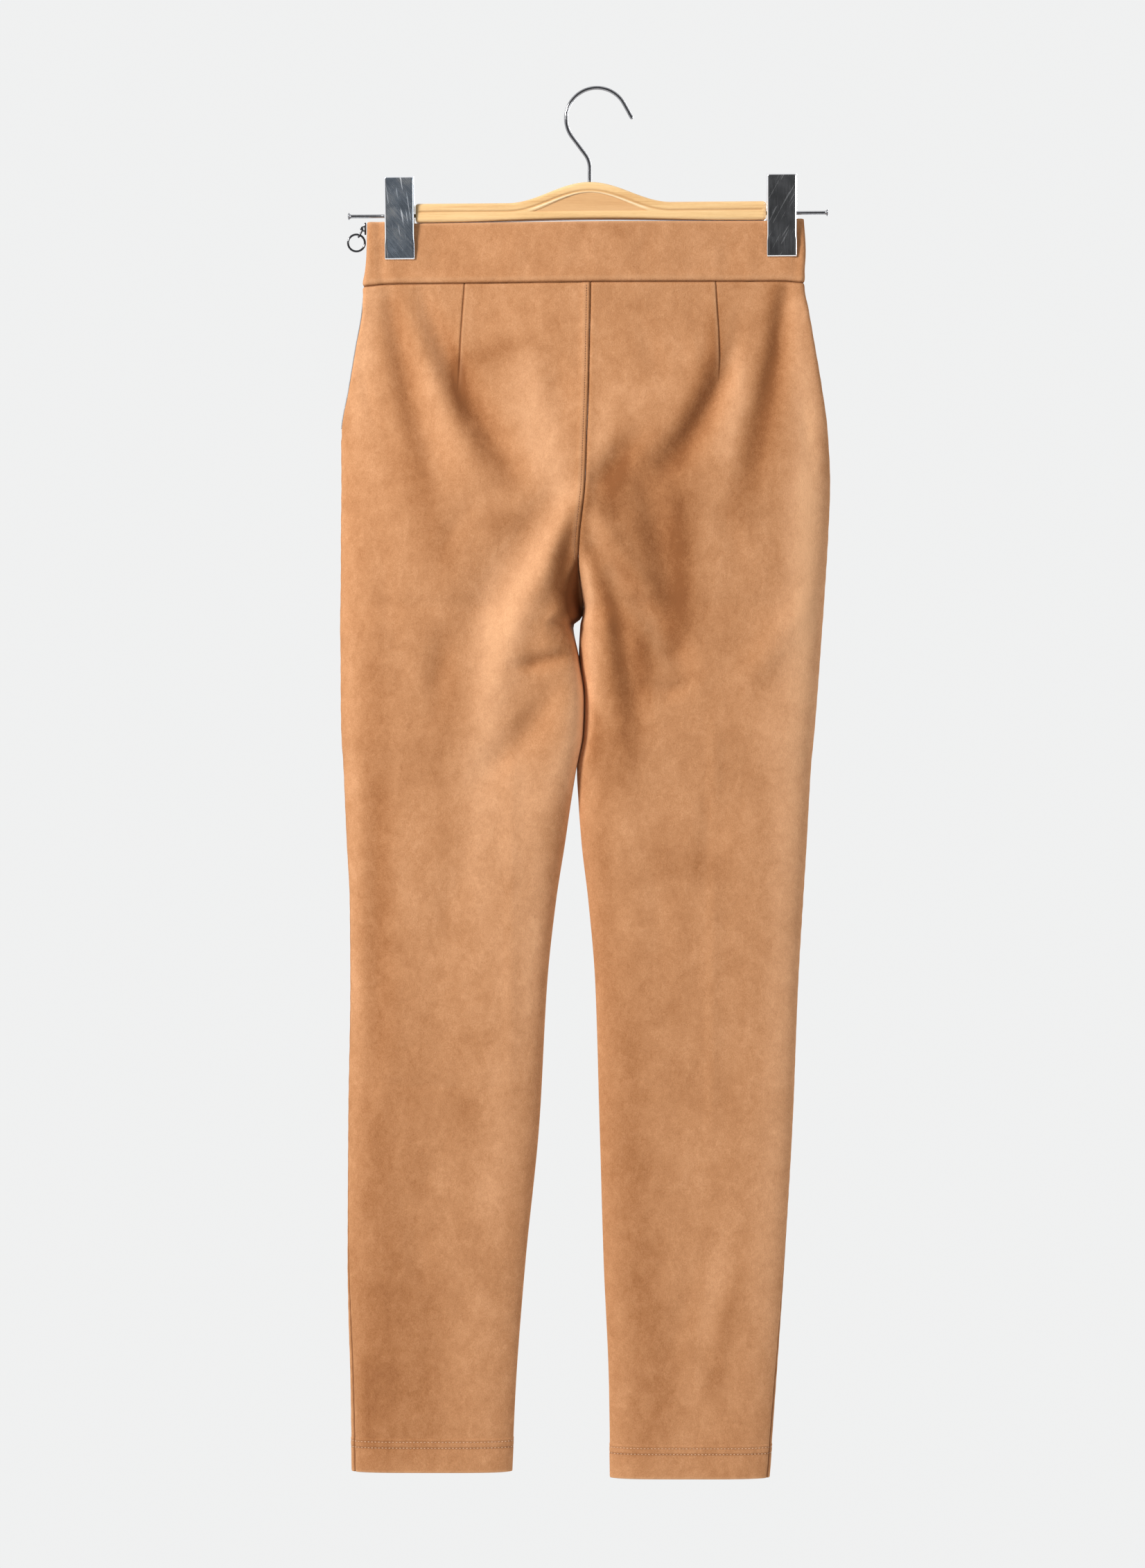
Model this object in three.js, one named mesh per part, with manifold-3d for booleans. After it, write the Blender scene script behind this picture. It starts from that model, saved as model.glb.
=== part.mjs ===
// Slim suede trousers hanging by their waistband from a wooden clip hanger.
// Millimetres, +Z up. The origin is the inner top of the hanger's hook, where a rail carries it.
// -Y is the side of the trousers' back, and -X the wearer's left, where the side zip is.
// "drop" is a distance straight down from the origin.
import * as THREE from "three";
import { mergeVertices } from "three/addons/utils/BufferGeometryUtils.js";
import Module from "manifold-3d";

const wasm = await Module();
wasm.setup();
const { lerp, smoothstep, clamp, degToRad } = THREE.MathUtils;

// ---- Driving dimensions ----------------------------------------------------------------------
const CLOTH = 1.2; // one layer of suede
const BAND_CLOTH = 2.4; // the waistband is folded double
const HEM_CLOTH = 1.8; // the hem is turned up once
const SEAM_GAP = 0.3;

const BAND_TOP = 102; // drop of the waistband's top edge beside the clips
const BAND_SAG = 1.5; // it sags this much between them
const WAIST = 150.7; // drop of the seam under the waistband
const PINCH = 3.6; // half the thickness of the waist where a clip grips it
const BOW = 5; // how far each side of the waist stands off that between the clips
const WAIST_OPENS_AT = 330; // drop by which the hips have their full depth
const CROTCH = 410; // drop of the crotch
const CLEFT = { back: 352, front: 340 }; // drop where the middle seam starts to turn under
const INNER_THIGH = { reach: 17, edge: 0.52, from: 430, to: 640 }; // the legs' tighter inner edge
const HEM = { left: 1076, right: 1081 }; // drop of each leg's lower edge
const HEM_HEIGHT = 26;
const EDGE_FADE = 14; // folds die out this near a side edge
const LEG_FORM = [290, 480]; // the hips' section turns into the leg's between these drops
const SECTION_POWER = 4.2; // flatness of a section: 2 is an ellipse

const ZIP_END = 267; // drop of the zip's lower end
const ZIP_WIDTH = 6;
const ZIP_SINK = 0.5; // the zip lies this far under the cloth's face

const TILT = 0.0079; // the hanger's rise per millimetre towards +X
const TILT_ENDS = 620; // drop below which the cloth hangs level

const WIRE = 3; // the hook's wire
const HOOK_RADIUS = 24.1; // of the wire's middle
const STEM_X = -5.6;
const STEM_END = 88; // drop of the stem's lower end, inside the wood
const NECK_SLANT = Math.atan2(0.6, 0.8); // of the neck from the vertical
const CROOK_END = 29; // degrees above the level at which the crook runs into its straight tip
const HOOK_TIP = 13.7;
const ROD_RADIUS = 1.4;
const ROD_DROP = 97.3;
const ROD_ENDS = [-194.1, 180.6];
const ROD_HEAD = { radius: 2.8, rim: 0.7, length: 2.2 };
const ROD_IN_WOOD = 20;
const WOOD_ENDS = [-141.2, 131.6];
const WOOD_THICK = 12;
const WOOD_MID = 95.7; // drop of the bar's mid-height at its ends
const WOOD_HEIGHT = 14.6;
const CLIP_X = [-153.6, 143.6];
const CLIP_WIDTH = 23.4;
const CLIP_ABOVE = 29; // reach of the clip above and below the rod
const CLIP_BELOW = 34.5;
const SHEET = 0.9; // the clip's steel
const CLIP_LEAN = 0.135; // how far a jaw leans out for each millimetre above its lower edge
const CLIP_PLAY = 0.2; // between a jaw's plate and the cloth at its lower edge, past the gap
const JAW_NESTING = 0.8; // play between the flanges of the two jaws of a clip

const table = (names, rows) =>
  rows.map((row) => Object.fromEntries(names.split(" ").map((name, i) => [name, row[i]])));

// The outline of both legs and half the garment's depth on each side, down from the waist seam.
// Above the crotch leftIn and rightIn are the middle seam.
const OUTLINE = table("drop leftOut leftIn rightIn rightOut back front", [
  [102.0, -179.0, -5.1, -5.1, 161.4, 6, 6],
  [127.0, -179.6, -5.1, -5.1, 162.9, 6, 6],
  [150.7, -182.0, -5.1, -5.1, 161.6, 9, 7],
  [172.5, -183.5, -5.4, -5.4, 165.2, 13, 10],
  [199.5, -188.2, -6.0, -6.0, 169.8, 17, 13],
  [231.9, -193.6, -6.6, -6.6, 175.2, 20, 15],
  [266.5, -199.2, -7.9, -7.9, 179.8, 22, 17],
  [307.5, -199.0, -9.4, -9.4, 181.7, 24, 18],
  [350.7, -199.4, -13.9, -13.9, 180.1, 24, 19],
  [366.0, -199.4, -14.6, -14.6, 179.2, 24, 19],
  [393.0, -199.6, -12.2, -12.2, 177.4, 23, 19],
  [402.0, -199.8, -11.8, -11.8, 176.8, 22, 19],
  [410.0, -199.9, -13.4, -13.4, 176.3, 22, 19],
  [418.0, -200.0, -17.2, -12.8, 175.7, 22, 19],
  [442.5, -199.6, -14.4, -13.5, 173.9, 21, 19],
  [474.9, -199.5, -10.9, -10.1, 171.5, 20, 19],
  [501.9, -199.0, -11.7, -10.9, 169.3, 20, 18],
  [526.5, -197.4, -15.5, -15.7, 166.9, 19, 18],
  [554.7, -196.2, -20.0, -14.4, 165.2, 18, 17],
  [588.3, -194.7, -24.9, -11.9, 163.4, 18, 17],
  [631.5, -192.5, -31.6, -6.8, 160.7, 17, 16],
  [696.3, -192.0, -38.6, -1.4, 156.9, 16, 16],
  [804.3, -193.6, -44.6, 1.9, 152.6, 15, 15],
  [912.3, -194.1, -55.4, 5.1, 146.1, 13, 14],
  [1009.5, -191.9, -62.9, 9.2, 139.3, 12, 12],
  [1085.0, -190.7, -66.3, 10.2, 134.0, 11, 11],
]);

// Between the thighs the left leg's inner edge sways this far towards the back, and the right
// leg's as far towards the front, so that one lies over the other. The crotch itself lies forward.
const INNER_EDGE = table("drop sway forward", [
  [345, 0, 0],
  [380, 0, 5],
  [CROTCH, 0, 9],
  [442, 3, 5],
  [475, 3.5, 1.5],
  [520, 3.3, 0],
  [580, 0, 0],
]);
const SWAY_WIDTH = 42; // and it dies out this far into the leg
const FORWARD_WIDTH = 24;
const LEFT_FLANK = { at: 395, reach: 14, wider: 15, power: 1.3 }; // its back slopes in more there

// How far the side seams lie round from the outermost edge, towards the back.
const SEAMS = table("drop left right", [
  [102, -0.6, 0],
  [150, -0.4, 0],
  [175, 1.2, 0],
  [400, 1.2, 0],
  [850, 1.5, 0.5],
  [1000, 5.0, 3.0],
  [1085, 5.5, 4.5],
]);

// Soft troughs (negative height) and ridges in the cloth. Each is a line of points with the fold's
// half-width and height there: x, drop, width, height.
const FOLDS = {
  back: [
    [
      [-162, 156, 6, -1.3], [-158, 180, 8, -3.4], [-150, 215, 9, -4.3], [-144, 243, 10, -3.9],
      [-130, 280, 12, -3.4], [-115, 316, 14, 0],
    ],
    [
      [-150, 168, 7, 0.5], [-138, 200, 9, 2.3], [-122, 240, 11, 3], [-102, 280, 13, 2.2],
      [-84, 316, 14, 0],
    ],
    [
      [-137, 158, 6, -1.3], [-126, 184, 9, -3.9], [-112, 216, 10, -6.2], [-98, 246, 11, -7.3],
      [-82, 271, 12, -6.5], [-66, 294, 13, -4.4], [-50, 318, 14, 0],
    ],
    [[-38, 322, 12, -1.3], [-58, 352, 14, -2.9], [-88, 402, 15, -2.9], [-108, 446, 14, 0]],
    [
      [-8, 306, 10, 1], [-22, 338, 11, 3.9], [-40, 378, 12, 4.4], [-60, 414, 13, 3.4],
      [-78, 468, 14, 2.3], [-86, 500, 14, 0],
    ],
    [[-16, 336, 6, -1.6], [-24, 362, 8, -4.2], [-31, 388, 8, -3.0], [-36, 408, 7, 0]],
    [[-64, 450, 5, -0.8], [-50, 448, 6, -3.4], [-34, 444, 6, -3.6], [-18, 440, 6, -1.6]],
    [[-34, 470, 9, -1.6], [-52, 498, 12, -3.9], [-76, 522, 12, -3.1], [-98, 552, 13, 0]],
    [[-118, 412, 10, 0], [-121, 450, 10, -2.5], [-126, 496, 10, 0]],
    [[-172, 520, 8, 0], [-171, 600, 9, -2], [-170, 720, 9, -1.6], [-173, 790, 8, 0]],
    [[-38, 198, 9, 0], [-29, 230, 10, -2.1], [-22, 270, 10, 0]],
    [
      [148, 156, 6, -1.6], [144, 180, 8, -3.9], [141, 206, 9, -4.4], [135, 234, 10, -3.9],
      [127, 260, 11, -3.4], [122, 290, 12, -2.6], [112, 328, 13, 0],
    ],
    [
      [104, 206, 7, -1], [96, 230, 9, -6], [84, 254, 10, -7.5], [70, 276, 11, -7],
      [54, 293, 12, -4.7], [38, 304, 12, 0],
    ],
    [[32, 272, 9, -1.3], [18, 288, 10, -4.2], [3, 306, 10, -3.6], [-4, 320, 9, 0]],
    [[34, 300, 10, -1.3], [46, 340, 12, -4.2], [56, 385, 12, -3.4], [60, 420, 12, 0]],
    [[-4, 322, 7, 1], [10, 350, 9, 2.9], [32, 384, 9, 2.6], [50, 418, 9, 0]],
    [
      [0, 360, 8, -1.8], [20, 384, 9, -4.2], [44, 412, 10, -4.2], [62, 438, 11, -4.7],
      [74, 466, 11, 0],
    ],
    [[10, 384, 8, -1.6], [19, 425, 9, -4.2], [28, 465, 10, -4.2], [35, 514, 10, 0]],
    [[42, 465, 6, -1], [56, 469, 7, -2.9], [78, 465, 7, 0]],
    [[106, 472, 10, 0], [128, 446, 12, 2.2], [160, 404, 12, 1.6], [173, 384, 10, 0]],
    [[86, 536, 9, 0], [89, 580, 10, -1.7], [88, 636, 9, 0]],
  ],
  front: [
    [[-160, 158, 9, -1], [-142, 220, 12, -3.6], [-118, 288, 13, -3.6], [-84, 342, 13, 0]],
    [[-20, 322, 11, 0.8], [-40, 356, 12, 2.9], [-66, 398, 12, 0]],
    [[-26, 352, 8, -1], [-36, 392, 10, -3.6], [-46, 430, 10, 0]],
    [[-62, 452, 7, 0], [-40, 446, 7, -2.6], [-20, 440, 7, -1]],
    [[138, 160, 9, -1], [122, 220, 12, -3.6], [98, 288, 13, -3.6], [48, 352, 13, 0]],
    [[-2, 340, 9, 0.8], [16, 370, 11, 2.9], [38, 398, 11, 0]],
    [[0, 378, 8, -1], [9, 425, 10, -3.9], [18, 480, 10, 0]],
    [[40, 470, 8, 0], [58, 466, 8, -2.1], [78, 460, 8, 0]],
    [[-170, 540, 9, 0], [-168, 640, 10, -1.8], [-171, 770, 9, 0]],
    [[88, 540, 9, 0], [90, 590, 10, -1.6], [88, 650, 9, 0]],
  ],
};

// A leg panel is cut in one from waist to hem. Its wall is made in three stretches, one below the
// other, so that each has a simple hollow. A stretch has zones of rows: how many steps from one
// drop to the next.
const STRETCHES = [
  {
    name: "hip",
    zones: [
      { to: 190, steps: 3 },
      { to: ZIP_END - 0.5, steps: 6 },
      { to: ZIP_END + 0.8, steps: 1 },
      { to: 345, steps: 6 },
      { to: CROTCH, steps: 6 },
    ],
  },
  {
    name: "thigh",
    zones: [
      { to: 424, steps: 3 },
      { to: 560, steps: 8 },
      { to: 700, steps: 4 },
    ],
  },
  { name: "shin", zones: [{ to: 820, steps: 3 }] }, // it goes on to the hem
];
const SHIN_STEPS = 6;
const HEM_STEP = 1; // the cloth turns from one layer to two over this drop
const PANEL_COLUMNS = { back: 18, front: 10 };
const BAND_COLUMNS = 30;
const BAND_ROWS = 2;
const SECTION_STEPS = 96;
const CROWDING = { panel: 0.85, band: 0.9 }; // how much the columns crowd towards a panel's edges

// ---- Curves ----------------------------------------------------------------------------------

// A smooth curve with no overshoot through one column of a table.
function throughColumn(rows, name) {
  const x = rows.map((row) => row.drop);
  const y = rows.map((row) => row[name]);
  const rise = y.slice(1).map((value, i) => (value - y[i]) / (x[i + 1] - x[i]));
  const slope = y.map((_, i) => {
    if (i === 0 || i === y.length - 1) return rise[Math.min(i, rise.length - 1)];
    if (rise[i - 1] * rise[i] <= 0) return 0;
    return (2 * rise[i - 1] * rise[i]) / (rise[i - 1] + rise[i]);
  });
  return (drop) => {
    const at = x.findIndex((value) => value > drop) - 1;
    const i = at < -1 ? x.length - 2 : Math.max(0, at);
    const h = x[i + 1] - x[i];
    const t = clamp((drop - x[i]) / h, 0, 1);
    const a = (1 + 2 * t) * (1 - t) ** 2;
    const b = t * (1 - t) ** 2;
    const c = t * t * (3 - 2 * t);
    const d = t * t * (t - 1);
    return a * y[i] + b * h * slope[i] + c * y[i + 1] + d * h * slope[i + 1];
  };
}

const outline = {
  left: { out: throughColumn(OUTLINE, "leftOut"), in: throughColumn(OUTLINE, "leftIn") },
  right: { out: throughColumn(OUTLINE, "rightOut"), in: throughColumn(OUTLINE, "rightIn") },
};
const depth = { back: throughColumn(OUTLINE, "back"), front: throughColumn(OUTLINE, "front") };
const seam = { left: throughColumn(SEAMS, "left"), right: throughColumn(SEAMS, "right") };
const sway = throughColumn(INNER_EDGE, "sway");
const forward = throughColumn(INNER_EDGE, "forward");
const TOWARDS = { back: -1, front: 1 };

// A polyline that is read by the distance along it.
class Line {
  constructor(points) {
    this.points = points;
    this.along = [0];
    for (let i = 1; i < points.length; i++) {
      const step = Math.hypot(points[i][0] - points[i - 1][0], points[i][1] - points[i - 1][1]);
      this.along.push(this.along[i - 1] + step);
    }
    this.length = this.along[points.length - 1];
  }
  at(distance) {
    let i = 1;
    while (i < this.points.length - 1 && this.along[i] < distance) i++;
    const t = (distance - this.along[i - 1]) / (this.along[i] - this.along[i - 1]);
    return [0, 1].map((k) => lerp(this.points[i - 1][k], this.points[i][k], t));
  }
}

// ---- The form of the cloth -------------------------------------------------------------------

const bell = (distance, width) => Math.exp(-((distance / width) ** 2));

// The sum of a face's folds at a place, where each has the strongest of its stretches there.
function folds(face, x, drop) {
  let total = 0;
  for (const fold of FOLDS[face]) {
    let height = 0;
    for (let i = 1; i < fold.length; i++) {
      const [x0, drop0, width0, height0] = fold[i - 1];
      const [x1, drop1, width1, height1] = fold[i];
      const [dx, dz] = [x1 - x0, drop1 - drop0];
      const t = clamp(((x - x0) * dx + (drop - drop0) * dz) / (dx * dx + dz * dz), 0, 1);
      const away = Math.hypot(x - x0 - t * dx, drop - drop0 - t * dz);
      const here = lerp(height0, height1, t) * bell(away, lerp(width0, width1, t));
      if (Math.abs(here) > Math.abs(height)) height = here;
    }
    total += height;
  }
  return total;
}

// Half the waist's thickness: flat at the clips, bowed between them, round at the side edges.
function pinched(x, fromEdge) {
  const round = Math.sqrt(1 - (1 - clamp(fromEdge / PINCH, 0, 1)) ** 2);
  const [left, right] = [CLIP_X[0] + CLIP_WIDTH / 2, CLIP_X[1] - CLIP_WIDTH / 2];
  const between = clamp((x - left) / (right - left), 0, 1);
  return PINCH * round + BOW * Math.sin(Math.PI * between) ** 2;
}

// Height left at the middle seam as it turns under: 1 above the cleft, 0 at the crotch.
function middleHeight(face, drop) {
  const t = clamp((drop - CLEFT[face]) / (CROTCH - CLEFT[face]), 0, 1);
  return 1 - t ** 1.3;
}

// Rounding towards an edge: 0 at the edge, 1 at a reach of 1 and beyond.
const rounded = (reach, power = 0.5) => (1 - (1 - clamp(reach, 0, 1)) ** SECTION_POWER) ** power;

// One face of one side, from its outer edge in to the middle seam or the inseam.
function halfSection(side, face, drop) {
  const out = outline[side].out(drop);
  const inner = outline[side].in(drop);
  const middle = middleHeight(face, drop) ** 2;
  const open = smoothstep(drop, WAIST - 12, WAIST_OPENS_AT);
  const legLike = smoothstep(drop, ...LEG_FORM);
  const width = Math.abs(inner - out);
  const lower = smoothstep(drop, INNER_THIGH.from, INNER_THIGH.to);
  const sloped = side === "left" && face === "back";
  const flank = sloped ? bell(drop - LEFT_FLANK.at, LEFT_FLANK.reach) : 0;
  const innerReach = lerp(INNER_THIGH.reach, width / 2, lower) + LEFT_FLANK.wider * flank;
  const innerPower = lerp(INNER_THIGH.edge, 0.5, lower) + LEFT_FLANK.power * flank;
  const aside = (side === "left" ? -1 : 1) * sway(drop);
  const points = [];
  for (let i = 0; i <= SECTION_STEPS; i++) {
    const share = (1 - Math.cos((Math.PI * i) / SECTION_STEPS)) / 2;
    const x = lerp(out, inner, share);
    const fromInner = (1 - share) * width;
    const outer = lerp(rounded(share), rounded(2 * share), legLike);
    const inward = Math.sqrt(lerp(rounded(fromInner / innerReach, innerPower) ** 2, 1, middle));
    const body = depth[face](drop) * outer * inward;
    const fadeOut = smoothstep(share * width, 0, EDGE_FADE);
    const fadeIn = lerp(smoothstep(fromInner, 0, EDGE_FADE), 1, middle);
    const lift = folds(face, x, drop) * fadeOut * fadeIn;
    const y = TOWARDS[face] * (lerp(pinched(x, share * width), body, open) + lift);
    const swayed = y + aside * (1 - smoothstep(fromInner, 0, SWAY_WIDTH));
    points.push([x, swayed + forward(drop) * (1 - smoothstep(fromInner, 0, FORWARD_WIDTH))]);
  }
  return points;
}

// The cloth's height at a nominal drop: the tilted hanger lifts it more on one side.
function heightAt(x, drop) {
  const hung = 1 - smoothstep(drop, BAND_TOP, TILT_ENDS);
  const between =
    smoothstep(x, CLIP_X[0] - 8, CLIP_X[0] + 14) * (1 - smoothstep(x, CLIP_X[1] - 14, CLIP_X[1] + 8));
  const sag = BAND_SAG * between * (1 - smoothstep(drop, BAND_TOP, WAIST));
  return -drop + TILT * (x - STEM_X) * hung - sag;
}

const kept = new Map();
function keep(key, make) {
  if (!kept.has(key)) kept.set(key, make());
  return kept.get(key);
}

// One side's section, read from the outer edge: positive distances run over the back.
function sideSection(side, drop) {
  return keep(`${side} ${drop}`, () => {
    const front = halfSection(side, "front", drop);
    const line = new Line([...front.slice(1).reverse(), ...halfSection(side, "back", drop)]);
    const edge = line.along[front.length - 1];
    return { at: (distance) => line.at(edge + distance), back: line.length - edge, front: edge };
  });
}

// The whole ring of the waist: from the left edge over the back to the right edge and on.
function waistRing(drop) {
  return keep(`ring ${drop}`, () => {
    const back = [...halfSection("left", "back", drop), ...halfSection("right", "back", drop).reverse().slice(1)];
    const front = [...halfSection("right", "front", drop), ...halfSection("left", "front", drop).reverse().slice(1)];
    const line = new Line([...front.slice(0, -1), ...back, ...front.slice(1)]);
    const edge = line.along[front.length - 1];
    return { at: (distance) => line.at(edge + distance), back: new Line(back).length, front: edge };
  });
}

function sidePoint(side) {
  return (distance, drop) => {
    const [x, y] = sideSection(side, drop).at(distance);
    return new THREE.Vector3(x, y, heightAt(x, drop));
  };
}

function ringPoint(distance, drop) {
  const [x, y] = waistRing(drop).at(distance);
  return new THREE.Vector3(x, y, heightAt(x, drop));
}

// ---- Solids ----------------------------------------------------------------------------------

const NEAR = 0.3; // step for measuring the surface's slope

// The outward normal of a surface of (distance, drop). "turn" is 1 where distance runs over the
// back towards +X, as on the left side and the ring, and -1 on the right side.
function outward(point, turn, distance, drop) {
  const along = point(distance + NEAR, drop).sub(point(distance - NEAR, drop));
  const down = point(distance, drop + NEAR).sub(point(distance, drop - NEAR));
  return down.cross(along).multiplyScalar(turn).normalize();
}

// A closed wall between two grids of points, grid[row][column].
function wallGeometry(outer, inner) {
  const rows = outer.length;
  const columns = outer[0].length;
  const points = [...outer.flat(), ...inner.flat()];
  const at = (layer, row, column) => (layer * rows + row) * columns + column;
  const index = [];
  const quad = (a, b, c, d) => index.push(a, b, c, a, c, d);
  for (let r = 0; r < rows - 1; r++) {
    for (let c = 0; c < columns - 1; c++) {
      quad(at(0, r, c), at(0, r + 1, c), at(0, r + 1, c + 1), at(0, r, c + 1));
      quad(at(1, r, c), at(1, r, c + 1), at(1, r + 1, c + 1), at(1, r + 1, c));
    }
    quad(at(0, r, 0), at(1, r, 0), at(1, r + 1, 0), at(0, r + 1, 0));
    const last = columns - 1;
    quad(at(0, r, last), at(0, r + 1, last), at(1, r + 1, last), at(1, r, last));
  }
  for (let c = 0; c < columns - 1; c++) {
    quad(at(0, 0, c), at(0, 0, c + 1), at(1, 0, c + 1), at(1, 0, c));
    const last = rows - 1;
    quad(at(0, last, c), at(1, last, c), at(1, last, c + 1), at(0, last, c + 1));
  }
  const geometry = new THREE.BufferGeometry().setFromPoints(points);
  geometry.setIndex(index);
  return facingOut(geometry);
}

function volumeOf(geometry) {
  const position = geometry.getAttribute("position");
  const index = geometry.index.array;
  const corner = [0, 1, 2].map(() => new THREE.Vector3());
  let volume = 0;
  for (let i = 0; i < index.length; i += 3) {
    corner.forEach((v, k) => v.fromBufferAttribute(position, index[i + k]));
    volume += corner[0].dot(corner[1].cross(corner[2])) / 6;
  }
  return volume;
}

function facingOut(geometry) {
  if (volumeOf(geometry) < 0) geometry.index.array.reverse();
  return geometry;
}

function positionsOnly(geometry) {
  const bare = geometry.index ? geometry.toNonIndexed() : geometry.clone();
  bare.deleteAttribute("normal");
  bare.deleteAttribute("uv");
  return facingOut(mergeVertices(bare, 1e-3));
}

function toSolid(geometry) {
  const merged = positionsOnly(geometry);
  return new wasm.Manifold(
    new wasm.Mesh({
      numProp: 3,
      vertProperties: new Float32Array(merged.getAttribute("position").array),
      triVerts: new Uint32Array(merged.index.array),
    }),
  );
}

function toGeometry(solid) {
  const mesh = solid.getMesh();
  const geometry = new THREE.BufferGeometry();
  geometry.setAttribute("position", new THREE.BufferAttribute(mesh.vertProperties, 3));
  geometry.setIndex(new THREE.BufferAttribute(mesh.triVerts, 1));
  return geometry;
}

// A wall over the surface "point" between two distances, which may change with the drop.
function clothWall({ point, turn, drops, columns, crowding, from, to, thickness, sink = () => 0 }) {
  const outer = [];
  const inner = [];
  for (const drop of drops) {
    const outerRow = [];
    const innerRow = [];
    for (let c = 0; c <= columns; c++) {
      const u = c / columns;
      const share = u - (crowding * Math.sin(2 * Math.PI * u)) / (2 * Math.PI);
      const distance = lerp(from(drop), to(drop), share);
      const place = point(distance, drop);
      const normal = outward(point, turn, distance, drop);
      outerRow.push(place.clone().addScaledVector(normal, -sink(drop)));
      innerRow.push(place.clone().addScaledVector(normal, -sink(drop) - thickness(drop)));
    }
    outer.push(outerRow);
    inner.push(innerRow);
  }
  return wallGeometry(outer, inner);
}

const evenly = (from, to, steps) =>
  Array.from({ length: steps + 1 }, (_, i) => lerp(from, to, i / steps));

// The rows of each stretch of a leg, parted by a gap.
function stretchDrops(side) {
  const turnUp = HEM[side] - HEM_HEIGHT;
  let start = WAIST;
  return STRETCHES.map(({ name, zones }) => {
    const drops = [start + SEAM_GAP / 2];
    for (const zone of zones) drops.push(...evenly(drops.at(-1), zone.to, zone.steps).slice(1));
    start = drops.at(-1);
    if (name === "shin") {
      drops.push(...evenly(drops.at(-1), turnUp, SHIN_STEPS).slice(1));
      drops.push(turnUp + HEM_STEP, turnUp + HEM_HEIGHT / 2, HEM[side]);
    } else drops[drops.length - 1] -= SEAM_GAP / 2;
    return { name, drops };
  });
}

// The zip's share of the left edge: its width above its lower end, and nothing below.
const zipWidth = (drop) => (drop < ZIP_END ? ZIP_WIDTH : 0);

function legPanel(side, face, drops) {
  const gap = SEAM_GAP / 2;
  const hemTop = HEM[side] - HEM_HEIGHT;
  const zip = side === "left" ? zipWidth : () => 0;
  const edges = {
    back: [(drop) => seam[side](drop) + gap, (drop) => sideSection(side, drop).back - gap],
    front: [(drop) => seam[side](drop) - zip(drop) - gap, (drop) => gap - sideSection(side, drop).front],
  };
  return clothWall({
    point: sidePoint(side),
    turn: side === "left" ? 1 : -1,
    drops,
    columns: PANEL_COLUMNS[face],
    crowding: CROWDING.panel,
    from: edges[face][0],
    to: edges[face][1],
    thickness: (drop) => (drop > hemTop + HEM_STEP / 2 ? HEM_CLOTH : CLOTH),
  });
}

function waistband(face) {
  const gap = SEAM_GAP / 2;
  const edges = {
    back: [(drop) => seam.left(drop) + gap, (drop) => waistRing(drop).back - seam.right(drop) - gap],
    front: [
      (drop) => seam.left(drop) - ZIP_WIDTH - gap,
      (drop) => seam.right(drop) + gap - waistRing(drop).front,
    ],
  };
  return clothWall({
    point: ringPoint,
    turn: 1,
    drops: evenly(BAND_TOP, WAIST - gap, BAND_ROWS),
    columns: BAND_COLUMNS,
    crowding: CROWDING.band,
    from: edges[face][0],
    to: edges[face][1],
    thickness: () => BAND_CLOTH,
  });
}

function zipTape() {
  return clothWall({
    point: sidePoint("left"),
    turn: 1,
    drops: evenly(BAND_TOP + 0.5, ZIP_END - 1.5, 14),
    columns: 3,
    crowding: 0,
    from: (drop) => seam.left(drop) - ZIP_WIDTH + SEAM_GAP,
    to: (drop) => seam.left(drop) - SEAM_GAP,
    thickness: () => CLOTH,
    sink: () => ZIP_SINK,
  });
}

// ---- The hanger ------------------------------------------------------------------------------

// A round wire along a path.
function wireGeometry(path, radius, sides, steps) {
  const section = new THREE.Shape();
  for (let i = 0; i < sides; i++) {
    const angle = (2 * Math.PI * i) / sides;
    const [x, y] = [radius * Math.cos(angle), radius * Math.sin(angle)];
    if (i) section.lineTo(x, y);
    else section.moveTo(x, y);
  }
  return new THREE.ExtrudeGeometry(section, { extrudePath: path, steps, bevelEnabled: false });
}

// The hook's middle line in the XZ plane: stem, bend, slanting neck, crook and straight tip.
function hookPath() {
  const centre = [0, WIRE / 2 - HOOK_RADIUS];
  const point = (angle) => [
    centre[0] + HOOK_RADIUS * Math.cos(angle),
    centre[1] + HOOK_RADIUS * Math.sin(angle),
  ];
  const crookStart = Math.PI + NECK_SLANT; // where the neck runs into the crook
  const crookEnd = degToRad(CROOK_END);
  const start = point(crookStart);
  const end = point(crookEnd);
  const bend = start[1] - (STEM_X - start[0]) / Math.tan(NECK_SLANT);
  const flat = (p) => new THREE.Vector3(p[0], 0, p[1]);
  const line = (a, b) => new THREE.LineCurve3(flat(a), flat(b));
  const path = new THREE.CurvePath();
  const fillet = 6;
  const bendIn = [STEM_X, bend - fillet];
  const bendOut = [STEM_X - fillet * Math.sin(NECK_SLANT), bend + fillet * Math.cos(NECK_SLANT)];
  path.add(line([STEM_X, -STEM_END], bendIn));
  path.add(new THREE.QuadraticBezierCurve3(flat(bendIn), flat([STEM_X, bend]), flat(bendOut)));
  path.add(line(bendOut, start));
  class Crook extends THREE.Curve {
    getPoint(t) {
      return flat(point(lerp(crookStart, crookEnd, t)));
    }
  }
  path.add(new Crook());
  const tip = [end[0] + HOOK_TIP * Math.sin(crookEnd), end[1] - HOOK_TIP * Math.cos(crookEnd)];
  path.add(line(end, tip));
  return path;
}

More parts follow.
